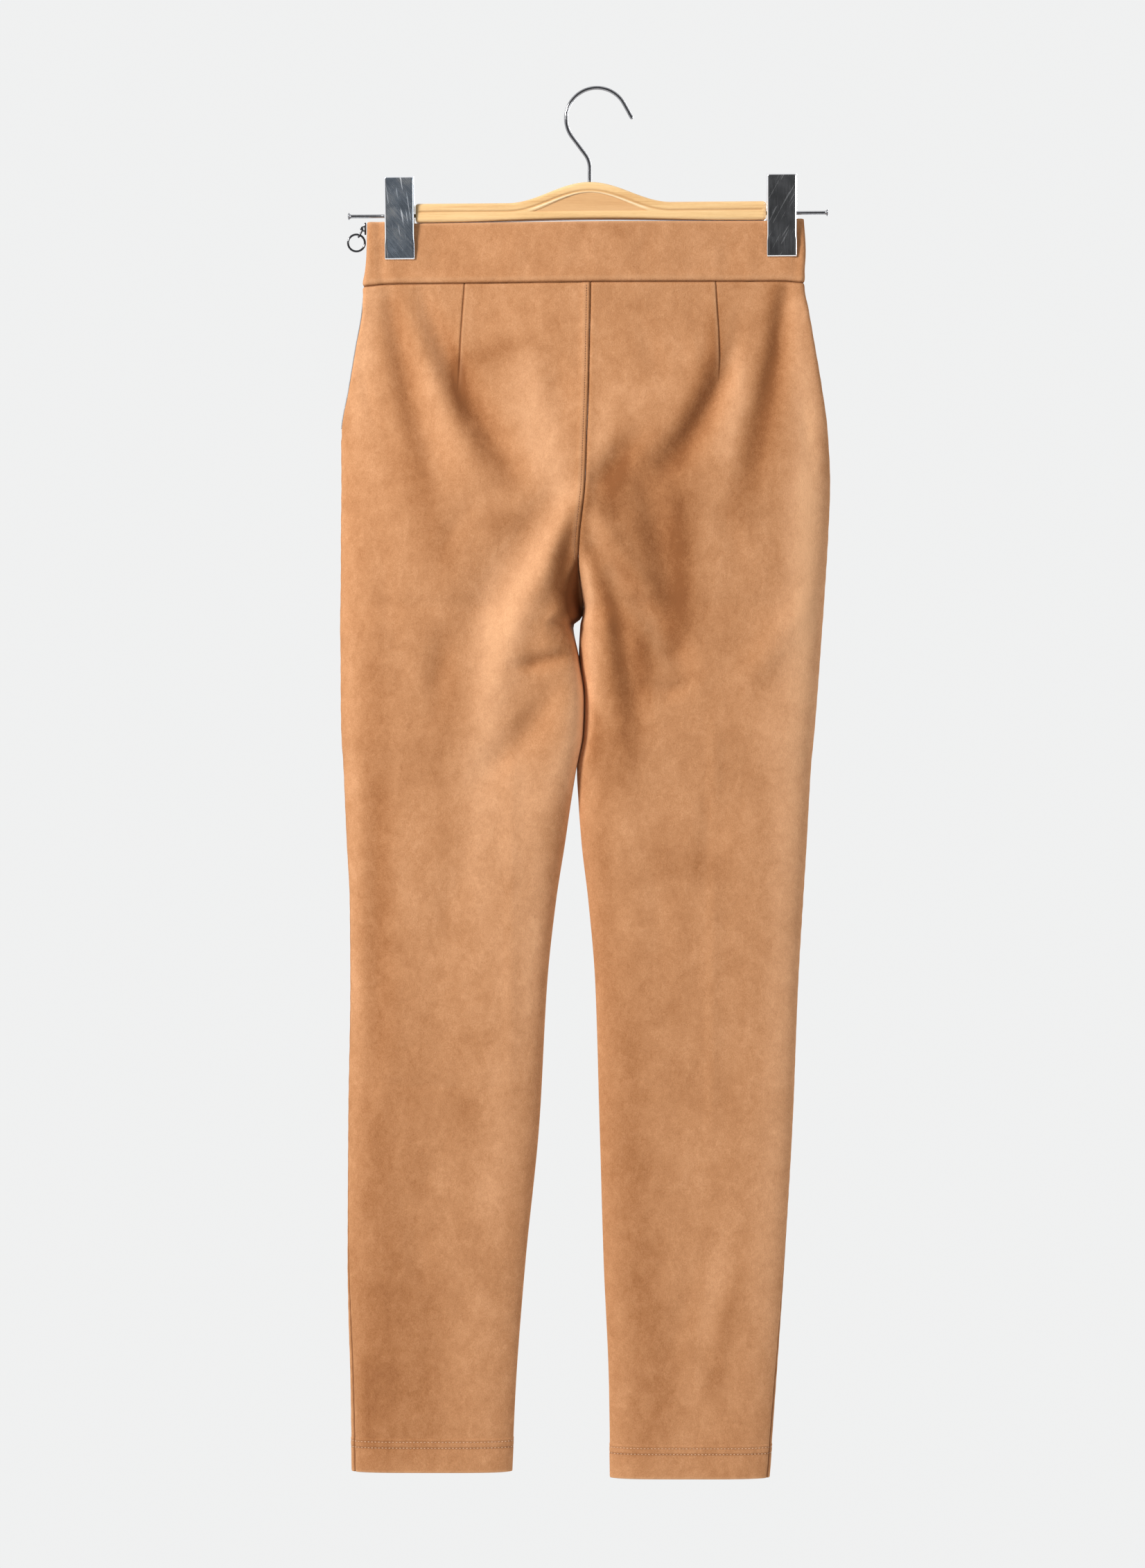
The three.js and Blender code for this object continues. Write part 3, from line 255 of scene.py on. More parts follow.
# Painted light (positive) and painted shade on the cloth, along its folds, in the cleft, beside the
# overlapping legs and towards the hems, together with some lighter and darker brushed nap, as lines
# of x, drop, width and amount. On the back those of the left side come first, from its outer edge
# inwards, and then those of the right side, from the middle outwards.
NAP_AND_PAINTED_SHADING = {
    "back": strokes("""
    -192 380 5 0, -191 500 6 .08, -188 700 6 .08, -188 880 6 0;
    -168 370 10 0, -171 430 11 -.14, -172 520 12 -.22, -168 620 12 -.24, -166 740 14 -.18,
      -166 830 18 -.16, -164 930 26 -.24, -166 1000 26 -.26, -168 1076 22 -.16;
    -140 720 12 0, -140 780 13 -.12, -138 840 14 -.1, -134 900 14 0;
    -175 154 12 .2, -179 190 11 .22, -186 250 9 .1, -186 300 9 0;
    -158 168 8 -.1, -151 217 9 -.26, -145 262 10 -.24, -137 304 12 -.28, -123 356 16 -.16,
      -120 405 16 0;
    -144 190 7 0, -131 222 8 .14, -115 270 8 .08, -100 310 9 0;
    -122 184 8 -.06, -109 212 11 -.24, -101 236 12 -.32, -91 264 12 -.36, -76 292 13 -.22,
      -62 320 13 0;
    -98 330 12 0, -76 340 12 -.16, -58 338 10 -.12, -44 330 8 0;
    -100 206 8 -.1, -86 208 10 -.22, -70 202 10 -.24, -56 196 9 -.2, -44 190 8 0;
    -110 204 4 -.1, -109 218 6 -.44, -108 232 6 -.5, -105 246 6 -.3, -99 264 8 0;
    -98 160 3 .1, -99 186 3 .16, -101 206 4 0;
    -60 196 13 .1, -52 232 18 .2, -43 276 17 .34, -30 312 14 .26, -20 330 8 0;
    -66 340 8 0, -78 370 9 .16, -88 410 9 .14, -92 440 9 0;
    -66 408 7 0, -64 432 8 .12, -68 456 8 0;
    -60 490 12 0, -58 540 14 .18, -66 590 14 .12, -72 640 12 0;
    -44 600 6 0, -47 660 7 .2, -51 720 7 .12, -53 770 6 0;
    -78 800 10 0, -78 860 12 .14, -82 910 12 0;
    -132 870 14 0, -130 940 16 -.14, -132 1040 18 -.17, -132 1076 16 -.08;
    -178 950 7 0, -178 1000 7 -.14, -178 1050 7 -.14;
    -22 318 8 .06, -38 350 10 .24, -58 384 14 .34, -74 424 17 .34, -82 470 17 .3,
      -86 520 18 .28, -90 580 20 .2, -88 660 20 .06, -80 760 20 0;
    -11 318 4 0, -18 345 8 -.36, -25 368 9 -.54, -28 388 8 -.5, -27 408 7 -.34, -26 428 7 -.2,
      -24 442 6 -.1;
    -20 440 5 -.1, -36 444 5 -.2, -50 446 6 -.24, -62 450 5 0;
    -34 462 9 0, -50 488 11 -.16, -66 510 11 -.1, -78 526 9 0;
    -20 436 4 0, -16 450 5 .3, -12 468 6 .42, -13 500 6 .4, -18 528 6 .26, -26 556 6 0;
    -24 450 6 0, -18 480 7 .14, -20 506 8 .2, -34 536 14 .22, -44 570 15 .2, -56 640 16 .16,
      -64 740 18 .1, -76 840 18 .08, -84 920 18 0;
    -117 396 12 0, -120 450 12 -.16, -121 500 13 -.16, -126 560 13 0;
    -140 560 16 0, -140 620 16 .05, -136 700 16 0;
    -108 690 12 0, -106 740 14 -.08, -104 790 14 -.08, -104 840 12 0;
    4 168 12 0, 22 172 12 -.06, 44 166 10 0;
    6 236 8 0, 6 262 9 .2, 1 288 8 .16, -4 304 6 0;
    16 208 14 0, 30 236 18 .06, 52 226 16 .05, 72 198 12 0;
    92 172 6 -.1, 92 204 8 -.38, 87 230 11 -.42, 76 260 13 -.48, 60 288 14 -.4, 44 304 13 -.1;
    34 258 9 0, 24 282 13 -.24, 12 302 15 -.24, 8 336 12 0;
    20 288 18 0, 42 312 29 -.28, 46 350 30 -.4, 46 392 28 -.42, 40 430 24 -.28, 26 470 18 -.24,
      20 506 15 -.22, 18 536 13 -.12, 20 566 12 0;
    20 282 8 -.06, 16 300 8 -.22, 8 322 10 -.24, 14 346 10 -.1;
    -6 306 4 0, -7 320 4 -.3, -9 336 4 -.16, -9 352 4 -.2, -8 362 4 -.1;
    62 306 8 0, 65 322 9 -.26, 64 342 9 -.26, 66 380 9 -.28, 64 415 8 -.22, 60 440 8 0;
    22 346 6 0, 34 370 7 .16, 38 398 7 .2, 44 420 7 .2, 50 444 7 .12, 54 470 7 0;
    -5 474 4 0, 0 490 6 -.3, 0 514 6 -.34, -6 534 5 0;
    -4 362 6 0, 16 388 7 .1, 38 420 8 .16, 52 446 8 0;
    60 380 9 0, 64 410 10 -.16, 62 436 10 -.16, 58 452 9 0;
    -8 350 5 0, -1 372 6 -.34, 9 398 7 -.46, 14 428 8 -.36, 18 462 9 -.26, 24 500 10 -.18,
      28 520 9 -.1, 28 540 8 0;
    28 416 6 0, 34 436 7 -.2, 36 462 8 -.18, 34 490 8 0;
    -12 364 3 0, -8 378 3 .3, -6 396 4 .34, -7 420 4 .3, -5 460 5 .22, -2 500 8 .14,
      -4 524 7 0;
    46 462 6 0, 58 462 6 -.14, 74 458 6 -.1, 90 454 6 0;
    84 300 12 0, 86 340 13 .08, 84 380 13 .06, 82 420 13 0;
    141 158 8 -.3, 138 200 9 -.48, 133 240 10 -.46, 124 278 11 -.42, 115 318 12 -.26,
      101 352 13 0;
    113 186 8 0, 110 236 9 .28, 105 268 10 .28, 97 304 9 0;
    155 172 8 .12, 161 216 10 .28, 165 262 12 .42, 163 320 15 .52, 162 400 17 .48,
      158 480 18 .42, 153 580 18 .3, 148 680 17 .24, 144 780 16 .2, 138 880 15 .2,
      134 980 14 .1, 132 1060 12 0;
    122 460 9 0, 140 432 11 .08, 160 400 11 .06, 170 380 9 0;
    130 450 12 0, 132 500 15 .12, 130 570 12 0;
    6 520 6 -.1, 4 580 8 -.14, 8 640 9 -.12, 10 700 9 -.12, 12 780 9 0;
    30 570 14 0, 52 604 15 -.16, 78 604 14 -.14, 92 580 12 0;
    28 600 16 0, 26 700 18 -.12, 28 840 20 -.16, 36 940 20 -.18, 44 1010 20 -.18,
      40 1075 16 -.04;
    106 850 9 0, 100 896 9 .14, 88 950 8 .1, 78 1000 8 .05, 72 1030 8 0;
    116 904 8 0, 105 946 8 -.18, 93 1000 8 -.16, 84 1042 8 0
    """),
    "front": strokes("""
    -158 168 9 -.1, -146 230 12 -.2, -124 300 15 -.18, -110 380 16 0;
    -60 208 16 0, -50 262 18 .12, -34 318 14 0;
    -36 350 10 0, -60 410 14 .22, -84 480 16 .18, -92 580 18 0;
    -14 345 7 -.16, -24 380 9 -.3, -24 412 8 -.2, -36 446 7 0;
    -170 420 12 0, -170 560 12 -.18, -168 760 14 -.14, -166 900 16 -.12, -166 1040 16 0;
    138 165 9 -.1, 124 230 12 -.2, 98 300 15 -.18, 60 352 16 0;
    22 300 18 0, 40 350 26 -.2, 34 430 22 -.18, 20 520 14 0;
    160 240 12 0, 166 380 16 .16, 154 560 18 .16, 140 820 16 0;
    28 620 16 0, 26 780 18 -.12, 34 960 18 -.12, 36 1070 14 0;
    -60 640 16 0, -70 780 18 .1, -84 900 16 0
    """),
    "band": strokes("""
    -150 120 14 0, -136 134 14 -.06, -110 126 12 0;
    -96 138 10 0, -78 146 12 -.12, -56 140 10 0;
    -40 112 12 0, -10 122 14 .05, 20 114 12 0;
    -8 140 8 0, 0 148 10 -.12, 22 144 8 0;
    60 118 10 0, 96 126 12 .05, 116 118 10 0
    """),
}

# The deep shade in the cleft over the crotch, on the left panel.
CLEFT_SHADE = strokes("""
    -14.4 360 1 .3, -16.2 370 2.6 1.2, -18.2 381 4.6 1.8, -19.4 394 6.2 2.2, -18.2 406 6.4 2.2,
      -17 415 4.4 1.6
""")

# The waist darts of the back, from the waist seam down to their tips.
DARTS = {
    "left": table("drop x", "151 -103, 200 -106.4, 238 -108.2"),
    "right": table("drop x", "151 92.6, 209 95.6, 234 94.6"),
}
DART_FADES = 30  # a dart's groove dies out over this length
SEAM_DIP = {"depth": 0.8, "width": 0.9}
DART_DIP = {"depth": 0.8, "width": 0.65}
DART_ALLOWANCE = {"height": 0.3, "rise": (0, 1.2), "fall": (2, 12)}  # it lies under one side
SEAM_LINE = 0.75  # how far from a seam the cloth is in its shade
STRIP = {"width": 6.2, "height": 0.5, "end": 368}  # the raised allowance left of the middle seam
STITCH_ROWS = {"middle": 3.1, "hem": (19.4, 24.0)}  # from the middle seam, and up from the hem
HEM_ROW_SHADE = (0.7, 0.34)  # how dark each of those rows lies in its groove
STITCH_DIP = {"middle": 0.35, "hem": 0.3, "width": 0.8}  # how deep a row lies
HEM_RAISE = 0.35
PUCKERS = {  # pitch, size and reach of the ripples along a line of stitches
    "inner": (11, 0.2, 7), "outer": (15, 0.16, 8), "hem": (9.5, 0.16, 6), "band": (13, 0.22, 9),
}
WEAR_AND_HIGHLIGHT = {  # paler lines, partly rubbed wear and partly a painted highlight: how much paler, how far from the edge and how wide
    "hem": (0.5, 0.4, 1.2), "dart": (0.3, 1.6, 1.1), "strip": (0.25, 4.4, 1.6),
    "band_top": (0.45, 0.5, 1.4), "band_foot": (0.25, 3.4, 1.6),
}
STITCH = {"middle": 1.9, "hem": 2.7, "half": 0.72, "radius": 0.27}  # the first two are pitches
TEETH = {"start": 114.5, "end": ZIP_END - 4, "pitch": 0.62, "aside": 0.55}
TOOTH = {"size": (1.7, 0.5, 0.8), "cut": 0.18}
SECTION_STEPS = 240
UNEVEN = ((0.34, 40, 0.6), (0.15, 15, 0.8), (0.05, 5.5, 1))  # hung suede: height, size, stretch

# ---- Curves ----


def lerp(a, b, t):
    return a + (b - a) * t


def smoothstep(value, low, high):
    t = np.clip((value - low) / (high - low), 0, 1)
    return t * t * (3 - 2 * t)


def bell(distance, width):
    return np.exp(-((distance / width) ** 2))


def rounded_in(to_edge, radius):
    """How far a face comes in towards an edge that is rounded to this radius."""
    return radius - np.sqrt(np.maximum(radius**2 - np.maximum(radius - to_edge, 0) ** 2, 0))


def through_column(rows, name):
    """A smooth curve with no overshoot through one column of a table."""
    x = np.array([row["drop"] for row in rows], float)
    y = np.array([row[name] for row in rows], float)
    rise = np.diff(y) / np.diff(x)
    slope = np.concatenate([rise[:1], np.zeros(len(y) - 2), rise[-1:]])
    for i, (a, b) in enumerate(zip(rise, rise[1:]), 1):
        slope[i] = 2 * a * b / (a + b) if a * b > 0 else 0

    def value(drop):
        i = np.clip(np.searchsorted(x, drop, side="right") - 1, 0, len(x) - 2)
        h = x[i + 1] - x[i]
        t = np.clip((drop - x[i]) / h, 0, 1)
        ends = (1 + 2 * t) * (1 - t) ** 2 * y[i] + t * t * (3 - 2 * t) * y[i + 1]
        return ends + h * (t * (1 - t) ** 2 * slope[i] + t * t * (t - 1) * slope[i + 1])

    return value


outer_edge = {side: through_column(OUTLINE, side + "Out") for side in SIDES}
inner_edge = {side: through_column(OUTLINE, side + "In") for side in SIDES}
depth = {face: through_column(OUTLINE, face) for face in FACES}
seam = {side: through_column(SEAMS, side) for side in SIDES}
sway, forward = through_column(INNER_EDGE, "sway"), through_column(INNER_EDGE, "forward")
TOWARDS = {"back": -1, "front": 1}


def soft_noise(x, z, size, seed):
    """Smooth noise from -1 to 1 with bumps of about this size."""
    lattice = np.random.default_rng(seed).uniform(-1, 1, (64, 64))
    u, v = x / size, z / size
    i, j = np.floor(u).astype(int), np.floor(v).astype(int)
    s, t = smoothstep(u - i, 0, 1), smoothstep(v - j, 0, 1)
    corner = [[lattice[(i + a) % 64, (j + b) % 64] for b in (0, 1)] for a in (0, 1)]
    return lerp(lerp(corner[0][0], corner[1][0], s), lerp(corner[0][1], corner[1][1], s), t)


def fold_height(folds, x, drop):
    """The sum of the folds at a place, where each has the strongest of its stretches there."""
    x, drop = np.broadcast_arrays(np.asarray(x, float), drop)
    total, low, high = np.zeros(x.shape), drop.min(), drop.max()
    for fold in folds:
        height = np.zeros(x.shape)
        for (x0, z0, width0, height0), (x1, z1, width1, height1) in zip(fold, fold[1:]):
            margin = 3 * max(width0, width1)
            if low > max(z0, z1) + margin or high < min(z0, z1) - margin:
                continue
            dx, dz = x1 - x0, z1 - z0
            t = np.clip(((x - x0) * dx + (drop - z0) * dz) / (dx * dx + dz * dz), 0, 1)
            away = np.hypot(x - x0 - t * dx, drop - z0 - t * dz)
            here = lerp(height0, height1, t) * bell(away, lerp(width0, width1, t))
            height = np.where(np.abs(here) > np.abs(height), here, height)
        total += height
    return total


# ---- The form of the cloth ----


def pinched(x, from_edge):
    """Half the waist's thickness: flat at the clips, bowed between them, round at the edges."""
    around = np.sqrt(1 - (1 - np.clip(from_edge / PINCH, 0, 1)) ** 2)
    left, right = CLIP_X["left"] + CLIP_WIDTH / 2, CLIP_X["right"] - CLIP_WIDTH / 2
    between = np.clip((x - left) / (right - left), 0, 1)
    return PINCH * around + BOW * np.sin(np.pi * between) ** 2


def middle_height(face, drop):
    """Height left at the middle seam as it turns under: 1 above the cleft, 0 at the crotch."""
    t = np.clip((drop - CLEFT[face]) / (CROTCH - CLEFT[face]), 0, 1)
    return 1 - t**1.3


def rounded(reach, power=0.5):
    """Rounding towards an edge: 0 at the edge, 1 at a reach of 1 and beyond."""
    return (1 - (1 - np.clip(reach, 0, 1)) ** SECTION_POWER) ** power


def half_section(side, face, drop):
    """One face of one side, from its outer edge in to the middle seam or the inseam."""
    out, inner = outer_edge[side](drop), inner_edge[side](drop)
    middle = middle_height(face, drop) ** 2
    opened = smoothstep(drop, WAIST - 12, WAIST_OPENS_AT)
    leg_like = smoothstep(drop, *LEG_FORM)
    width = abs(inner - out)
    lower = smoothstep(drop, INNER_THIGH["from"], INNER_THIGH["to"])
    inner_reach = lerp(INNER_THIGH["reach"], width / 2, lower)
    inner_power = lerp(INNER_THIGH["edge"], 0.5, lower)
    if side == "left" and face == "back":
        flank = bell(drop - LEFT_FLANK["at"], LEFT_FLANK["reach"])
        inner_reach += LEFT_FLANK["wider"] * flank
        inner_power += LEFT_FLANK["power"] * flank
    aside = (-1 if side == "left" else 1) * sway(drop)

    share = (1 - np.cos(np.linspace(0, np.pi, SECTION_STEPS + 1))) / 2
    x = lerp(out, inner, share)
    from_outer, from_inner = share * width, (1 - share) * width
    outer = lerp(rounded(share), rounded(2 * share), leg_like)
    inward = np.sqrt(lerp(rounded(from_inner / inner_reach, inner_power) ** 2, 1, middle))
    body = depth[face](drop) * outer * inward
    inner_fade = lerp(smoothstep(from_inner, 0, EDGE_FADE), 1, middle)
    fade = smoothstep(from_outer, 0, EDGE_FADE) * inner_fade
    lift = fold_height(FOLDS[face], x, drop) * fade
    y = TOWARDS[face] * (lerp(pinched(x, from_outer), body, opened) + lift)
    y = y + aside * (1 - smoothstep(from_inner, 0, SWAY_WIDTH))
    return np.column_stack([x, y + forward(drop) * (1 - smoothstep(from_inner, 0, FORWARD_WIDTH))])


def height_at(x, drop):
    """The cloth's height at a nominal drop: the tilted hanger lifts it more on one side."""
    hung = 1 - smoothstep(drop, BAND_TOP, TILT_ENDS)
    left, right = CLIP_X["left"], CLIP_X["right"]
    between = smoothstep(x, left - 8, left + 14) * (1 - smoothstep(x, right - 14, right + 8))
    sag = BAND_SAG * between * (1 - smoothstep(drop, BAND_TOP, WAIST))
    at_sides = sum(
        share * bell(x - outer_edge[side](WAIST), width) for side, (share, width) in DROOP_AT.items()
    )
    droop = WAIST_DROOP * at_sides * (1 - smoothstep(np.abs(drop - WAIST), 0, 40))
    return -drop + TILT * (x - STEM_X) * hung - sag - droop


class Section:
    """A closed or open line round the garment, read by the distance from its left or outer edge.

    Positive distances run over the back and negative ones over the front.
    """

    def __init__(self, front, back):
        points = np.vstack([front[:0:-1], back])
        steps = np.hypot(*np.diff(points, axis=0).T)
        along = np.concatenate([[0], np.cumsum(steps)])
        self.points = points
        self.along = along - along[len(front) - 1]
        self.back, self.front = self.along[-1], -self.along[0]

    def at(self, distance):
        return np.column_stack([np.interp(distance, self.along, self.points[:, k]) for k in (0, 1)])

    def distance_of(self, x):
        """The distance over the back at which the section crosses this x."""
        back = self.along >= 0
        xs, along = self.points[back, 0], self.along[back]
        order = np.argsort(xs)
        return np.interp(x, xs[order], along[order])


def side_section(side, drop):
    return Section(*(half_section(side, face, drop) for face in ("front", "back")))


def waist_ring(drop):
    left, right = ([half_section(side, face, drop) for face in ("front", "back")] for side in SIDES)
    return Section(*(np.vstack([a, b[::-1][1:]]) for a, b in zip(left, right)))


# ---- Meshes ----


def make_object(name, points, faces, material, smooth=True, **marks):
    """A mesh, with marks that are values at the points of a wall's face, and again of its back."""
    mesh = bpy.data.meshes.new(name)
    points = (np.asarray(points, float) * MM).tolist()
    mesh.from_pydata(points, [], [list(map(int, face)) for face in faces])
    mesh.polygons.foreach_set("use_smooth", [smooth] * len(mesh.polygons))
    for key, values in marks.items():
        both = np.tile(np.asarray(values, np.float32).ravel(), 2)
        mesh.attributes.new(key, "FLOAT", "POINT").data.foreach_set("value", both)
    mesh.materials.append(material)
    mesh.update()
    made = bpy.data.objects.new(name, mesh)
    bpy.context.scene.collection.objects.link(made)
    return made


def mount(piece, nodes, body="root"):
    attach(piece, body)
    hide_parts(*nodes)


def fitted(name, node, shape, material, slot="chrome", body="root", **marks):
    """A piece of some points and faces, in place of one node."""
    mount(make_object(name, *shape, material, **marks), [node], body)


def quads_of(index):
    """The four-sided faces between the neighbours of a grid of point numbers."""
    corners = index[:-1, :-1], index[1:, :-1], index[1:, 1:], index[:-1, 1:]
    return np.stack(corners, -1).reshape(-1, 4)


def signed_volume(points, faces):
    a, b, c, d = (points[faces[:, k]] for k in range(4))
    return (np.cross(a, b) * c).sum() + (np.cross(a, c) * d).sum()


def closed_wall(outer, inner):
    """The points and faces of a closed wall between two grids of points."""
    rows, columns = outer.shape[:2]
    index = np.arange(rows * columns).reshape(rows, columns)
    points = np.concatenate([outer.reshape(-1, 3), inner.reshape(-1, 3)])
    loop = np.concatenate([index[0, :-1], index[:-1, -1], index[-1, :0:-1], index[:0:-1, 0]])
    ahead = np.roll(loop, -1)
    rim = np.stack([loop, ahead, ahead + index.size, loop + index.size], -1)
    faces = np.concatenate([quads_of(index), quads_of(index + index.size)[:, ::-1], rim])
    if signed_volume(points, faces) < 0:
        faces = faces[:, ::-1]
    return points, faces


def grid_normals(grid, facing):
    """Unit normals of a grid of points, turned so that most have this direction."""
    along, down = np.gradient(grid, axis=1), np.gradient(grid, axis=0)
    normal = np.cross(along, down)
    normal /= np.linalg.norm(normal, axis=2, keepdims=True) + 1e-12
    return normal * np.sign((normal.reshape(-1, 3).mean(axis=0) * facing).sum())


def tube(path, radius, sides=12, closed=False, taper=None):
    """The points and faces of a round wire along a path of points."""
    path = np.asarray(path, float)
    if closed:
        ahead = np.roll(path, -1, axis=0) - np.roll(path, 1, axis=0)
    else:
        ahead = np.gradient(path, axis=0)
    ahead /= np.linalg.norm(ahead, axis=1, keepdims=True)
    across = np.cross(ahead[0], [0, 1, 0.013])
    angle = np.linspace(0, 2 * np.pi, sides, endpoint=False)[:, None]
    rings = []
    for i, (place, forwards) in enumerate(zip(path, ahead)):
        across = across - forwards * (across @ forwards)
        across /= np.linalg.norm(across)
        up = np.cross(forwards, across)
        size = radius * (1 if taper is None else taper[i])
        rings.append(place + size * (np.cos(angle) * across + np.sin(angle) * up))
    index = np.arange(len(path) * sides).reshape(-1, sides)
    index = np.column_stack([index, index[:, 0]])
    if closed:
        return np.vstack(rings), list(quads_of(np.vstack([index, index[:1]])))
    return np.vstack(rings), [*quads_of(index), index[0, :-1][::-1], index[-1, :-1]]


def joined(parts):
    """Several sets of points and faces as one."""
    points, faces, start = [], [], 0
    for some_points, some_faces in parts:
        points.append(np.asarray(some_points, float))
        faces += [np.asarray(face) + start for face in some_faces]
        start += len(some_points)
    return np.vstack(points), faces


def repeated(template, places):
    """Copies of a template at places, each a centre and three directions of unit length."""
    points, faces = template
    return joined([(centre + points @ np.array([a, b, c]), faces) for centre, a, b, c in places])


# ---- Cloth ----
EDGE_STEPS = np.array([0, 0.3, 0.65, 1.1, 1.7, 2.5, 3.6, 4.9, 6.3, 7.8])
LINE_STEPS = np.array([-2.6, -1.7, -1.1, -0.7, -0.35, 0, 0.35, 0.7, 1.1, 1.7, 2.6])
FOLDED_EDGE = np.array([0, 0.08, 0.22, 0.42, 0.68, 1.0, 1.6, 2.6, 4.0])
STEP = {"back": (2.4, 2.3), "front": (3.8, 3.4), "band": (2.4, 1.7)}  # across and down


def spread(step, *lines):
    """Distances along each row: by given steps at some lines, and evenly between them."""
    parts = [line[:, None] + steps for line, steps in lines]
    for k in range(len(parts) - 1, 0, -1):
        low, high = parts[k - 1][:, -1:], parts[k][:, :1]
        count = int(np.ceil(np.max(high - low) / step))
        parts.insert(k, low + (high - low) * (np.arange(1, count)[None, :] / count))
    return np.hstack(parts)


def merged_drops(*lists):
    drops = np.sort(np.concatenate(lists))
    return drops[np.concatenate([[True], np.diff(drops) > 0.04])]


class Cloth:
    """A piece of cloth on the garment's form, as a closed wall, with the places on its face."""

    def __init__(self, sections, drops, distance, facing):
        self.drops, self.distance = drops, distance
        flat = [section.at(row) for section, row in zip(sections, distance)]
        self.x = np.array([row[:, 0] for row in flat])
        y = np.array([row[:, 1] for row in flat])
        self.drop = np.broadcast_to(drops[:, None], self.x.shape)
        self.form = np.stack([self.x, y, height_at(self.x, self.drop)], -1)
        self.normal = grid_normals(self.form, np.array(facing, float))
        self.from_start = distance - distance[:, :1]
        self.from_end = distance[:, -1:] - distance

    def raise_face(self, height, thickness, rounding=0):
        """Moves the form out by a height and gives it an inner face."""
        self.outer = self.form + self.normal * (height - rounding)[..., None]
        self.inner = self.form + self.normal * (height - thickness + rounding)[..., None]

    def make(self, name, nodes, material, slot="suede", tape_width=0, **marks):
        """The piece, with its flat size measured across its widest row and down its length."""
        piece = make_object(name, *closed_wall(self.outer, self.inner), material, **marks)
        cuts = np.linalg.norm(np.diff(self.form, axis=1), axis=2).sum(axis=1)
        lengths = np.linalg.norm(np.diff(self.form, axis=0), axis=2).sum(axis=0)
        area = np.trapz(cuts, self.drops) * lengths.mean() / np.ptp(self.drops)
        width, length = max(cuts.max() * 1.002, tape_width), lengths.max() * 1.002
        area = min(area, width * length) * MM * MM
        mount(piece, nodes)
        print(f"{name}: flat {width:.0f} by {length:.0f} mm, area {area:.4f} m2")

    def place(self, distance, drop):
        """The point on the face at a distance along a row, with the directions there."""
        r = int(np.clip(np.searchsorted(self.drops, drop) - 1, 0, len(self.drops) - 2))
        t = (drop - self.drops[r]) / (self.drops[r + 1] - self.drops[r])

        def on_row(row, values, at):
            return np.array([np.interp(at, self.distance[row], part) for part in values[row].T])

        def read(values, at):
            return lerp(on_row(r, values, at), on_row(r + 1, values, at), t)

        along = read(self.outer, distance + 0.3) - read(self.outer, distance - 0.3)
        along /= np.linalg.norm(along)
        normal = read(self.normal, distance)
        normal -= along * (normal @ along)
        normal /= np.linalg.norm(normal)
        return read(self.outer, distance), along, np.cross(normal, along), normal


def relief_of_noise(cloth, seed):
    """The unevenness of hung suede, which dies out at the edges of its piece."""
    away = smoothstep(np.minimum(cloth.from_start, cloth.from_end), 0, 9)
    layers = [
        height * soft_noise(cloth.x, cloth.drop * stretch, size, seed + i)
        for i, (height, size, stretch) in enumerate(UNEVEN)
    ]
    return away * sum(layers)


def seam_relief(away):
    return 0.2 * bell(away - 3, 2.2) - SEAM_DIP["depth"] * bell(away, SEAM_DIP["width"])


def puckers(away, along, pitch, size, reach, seed):
    """Small ripples across a line of stitches."""
    phase = 2 * np.pi * along / pitch + 2.5 * soft_noise(along, along * 0, pitch * 4, seed)
    strength = 0.6 + 0.4 * soft_noise(along, along * 0 + 7, pitch * 3, seed)
    return size * strength * np.sin(phase) * np.exp(-away / reach)


def wear_and_highlight_line(away, name):
    amount, at, width = WEAR_AND_HIGHLIGHT[name]
    return amount * bell(away - at, width)


def dart_line(side, drops, sections, start, end):
    """The dart's distance along each row, carried on below it, and its groove's depth there."""
    tip = DARTS[side][-1]["drop"]
    dart_x = through_column(DARTS[side], "x")(np.minimum(drops, tip))
    span = end - start
    share = np.array([s.distance_of(x) for s, x in zip(sections, dart_x)]) / span
    below = share[np.searchsorted(drops, tip)]
    line = start + span * np.where(drops < tip, share - start / span, below)
    return line, 1 - smoothstep(drops, tip - DART_FADES, tip)


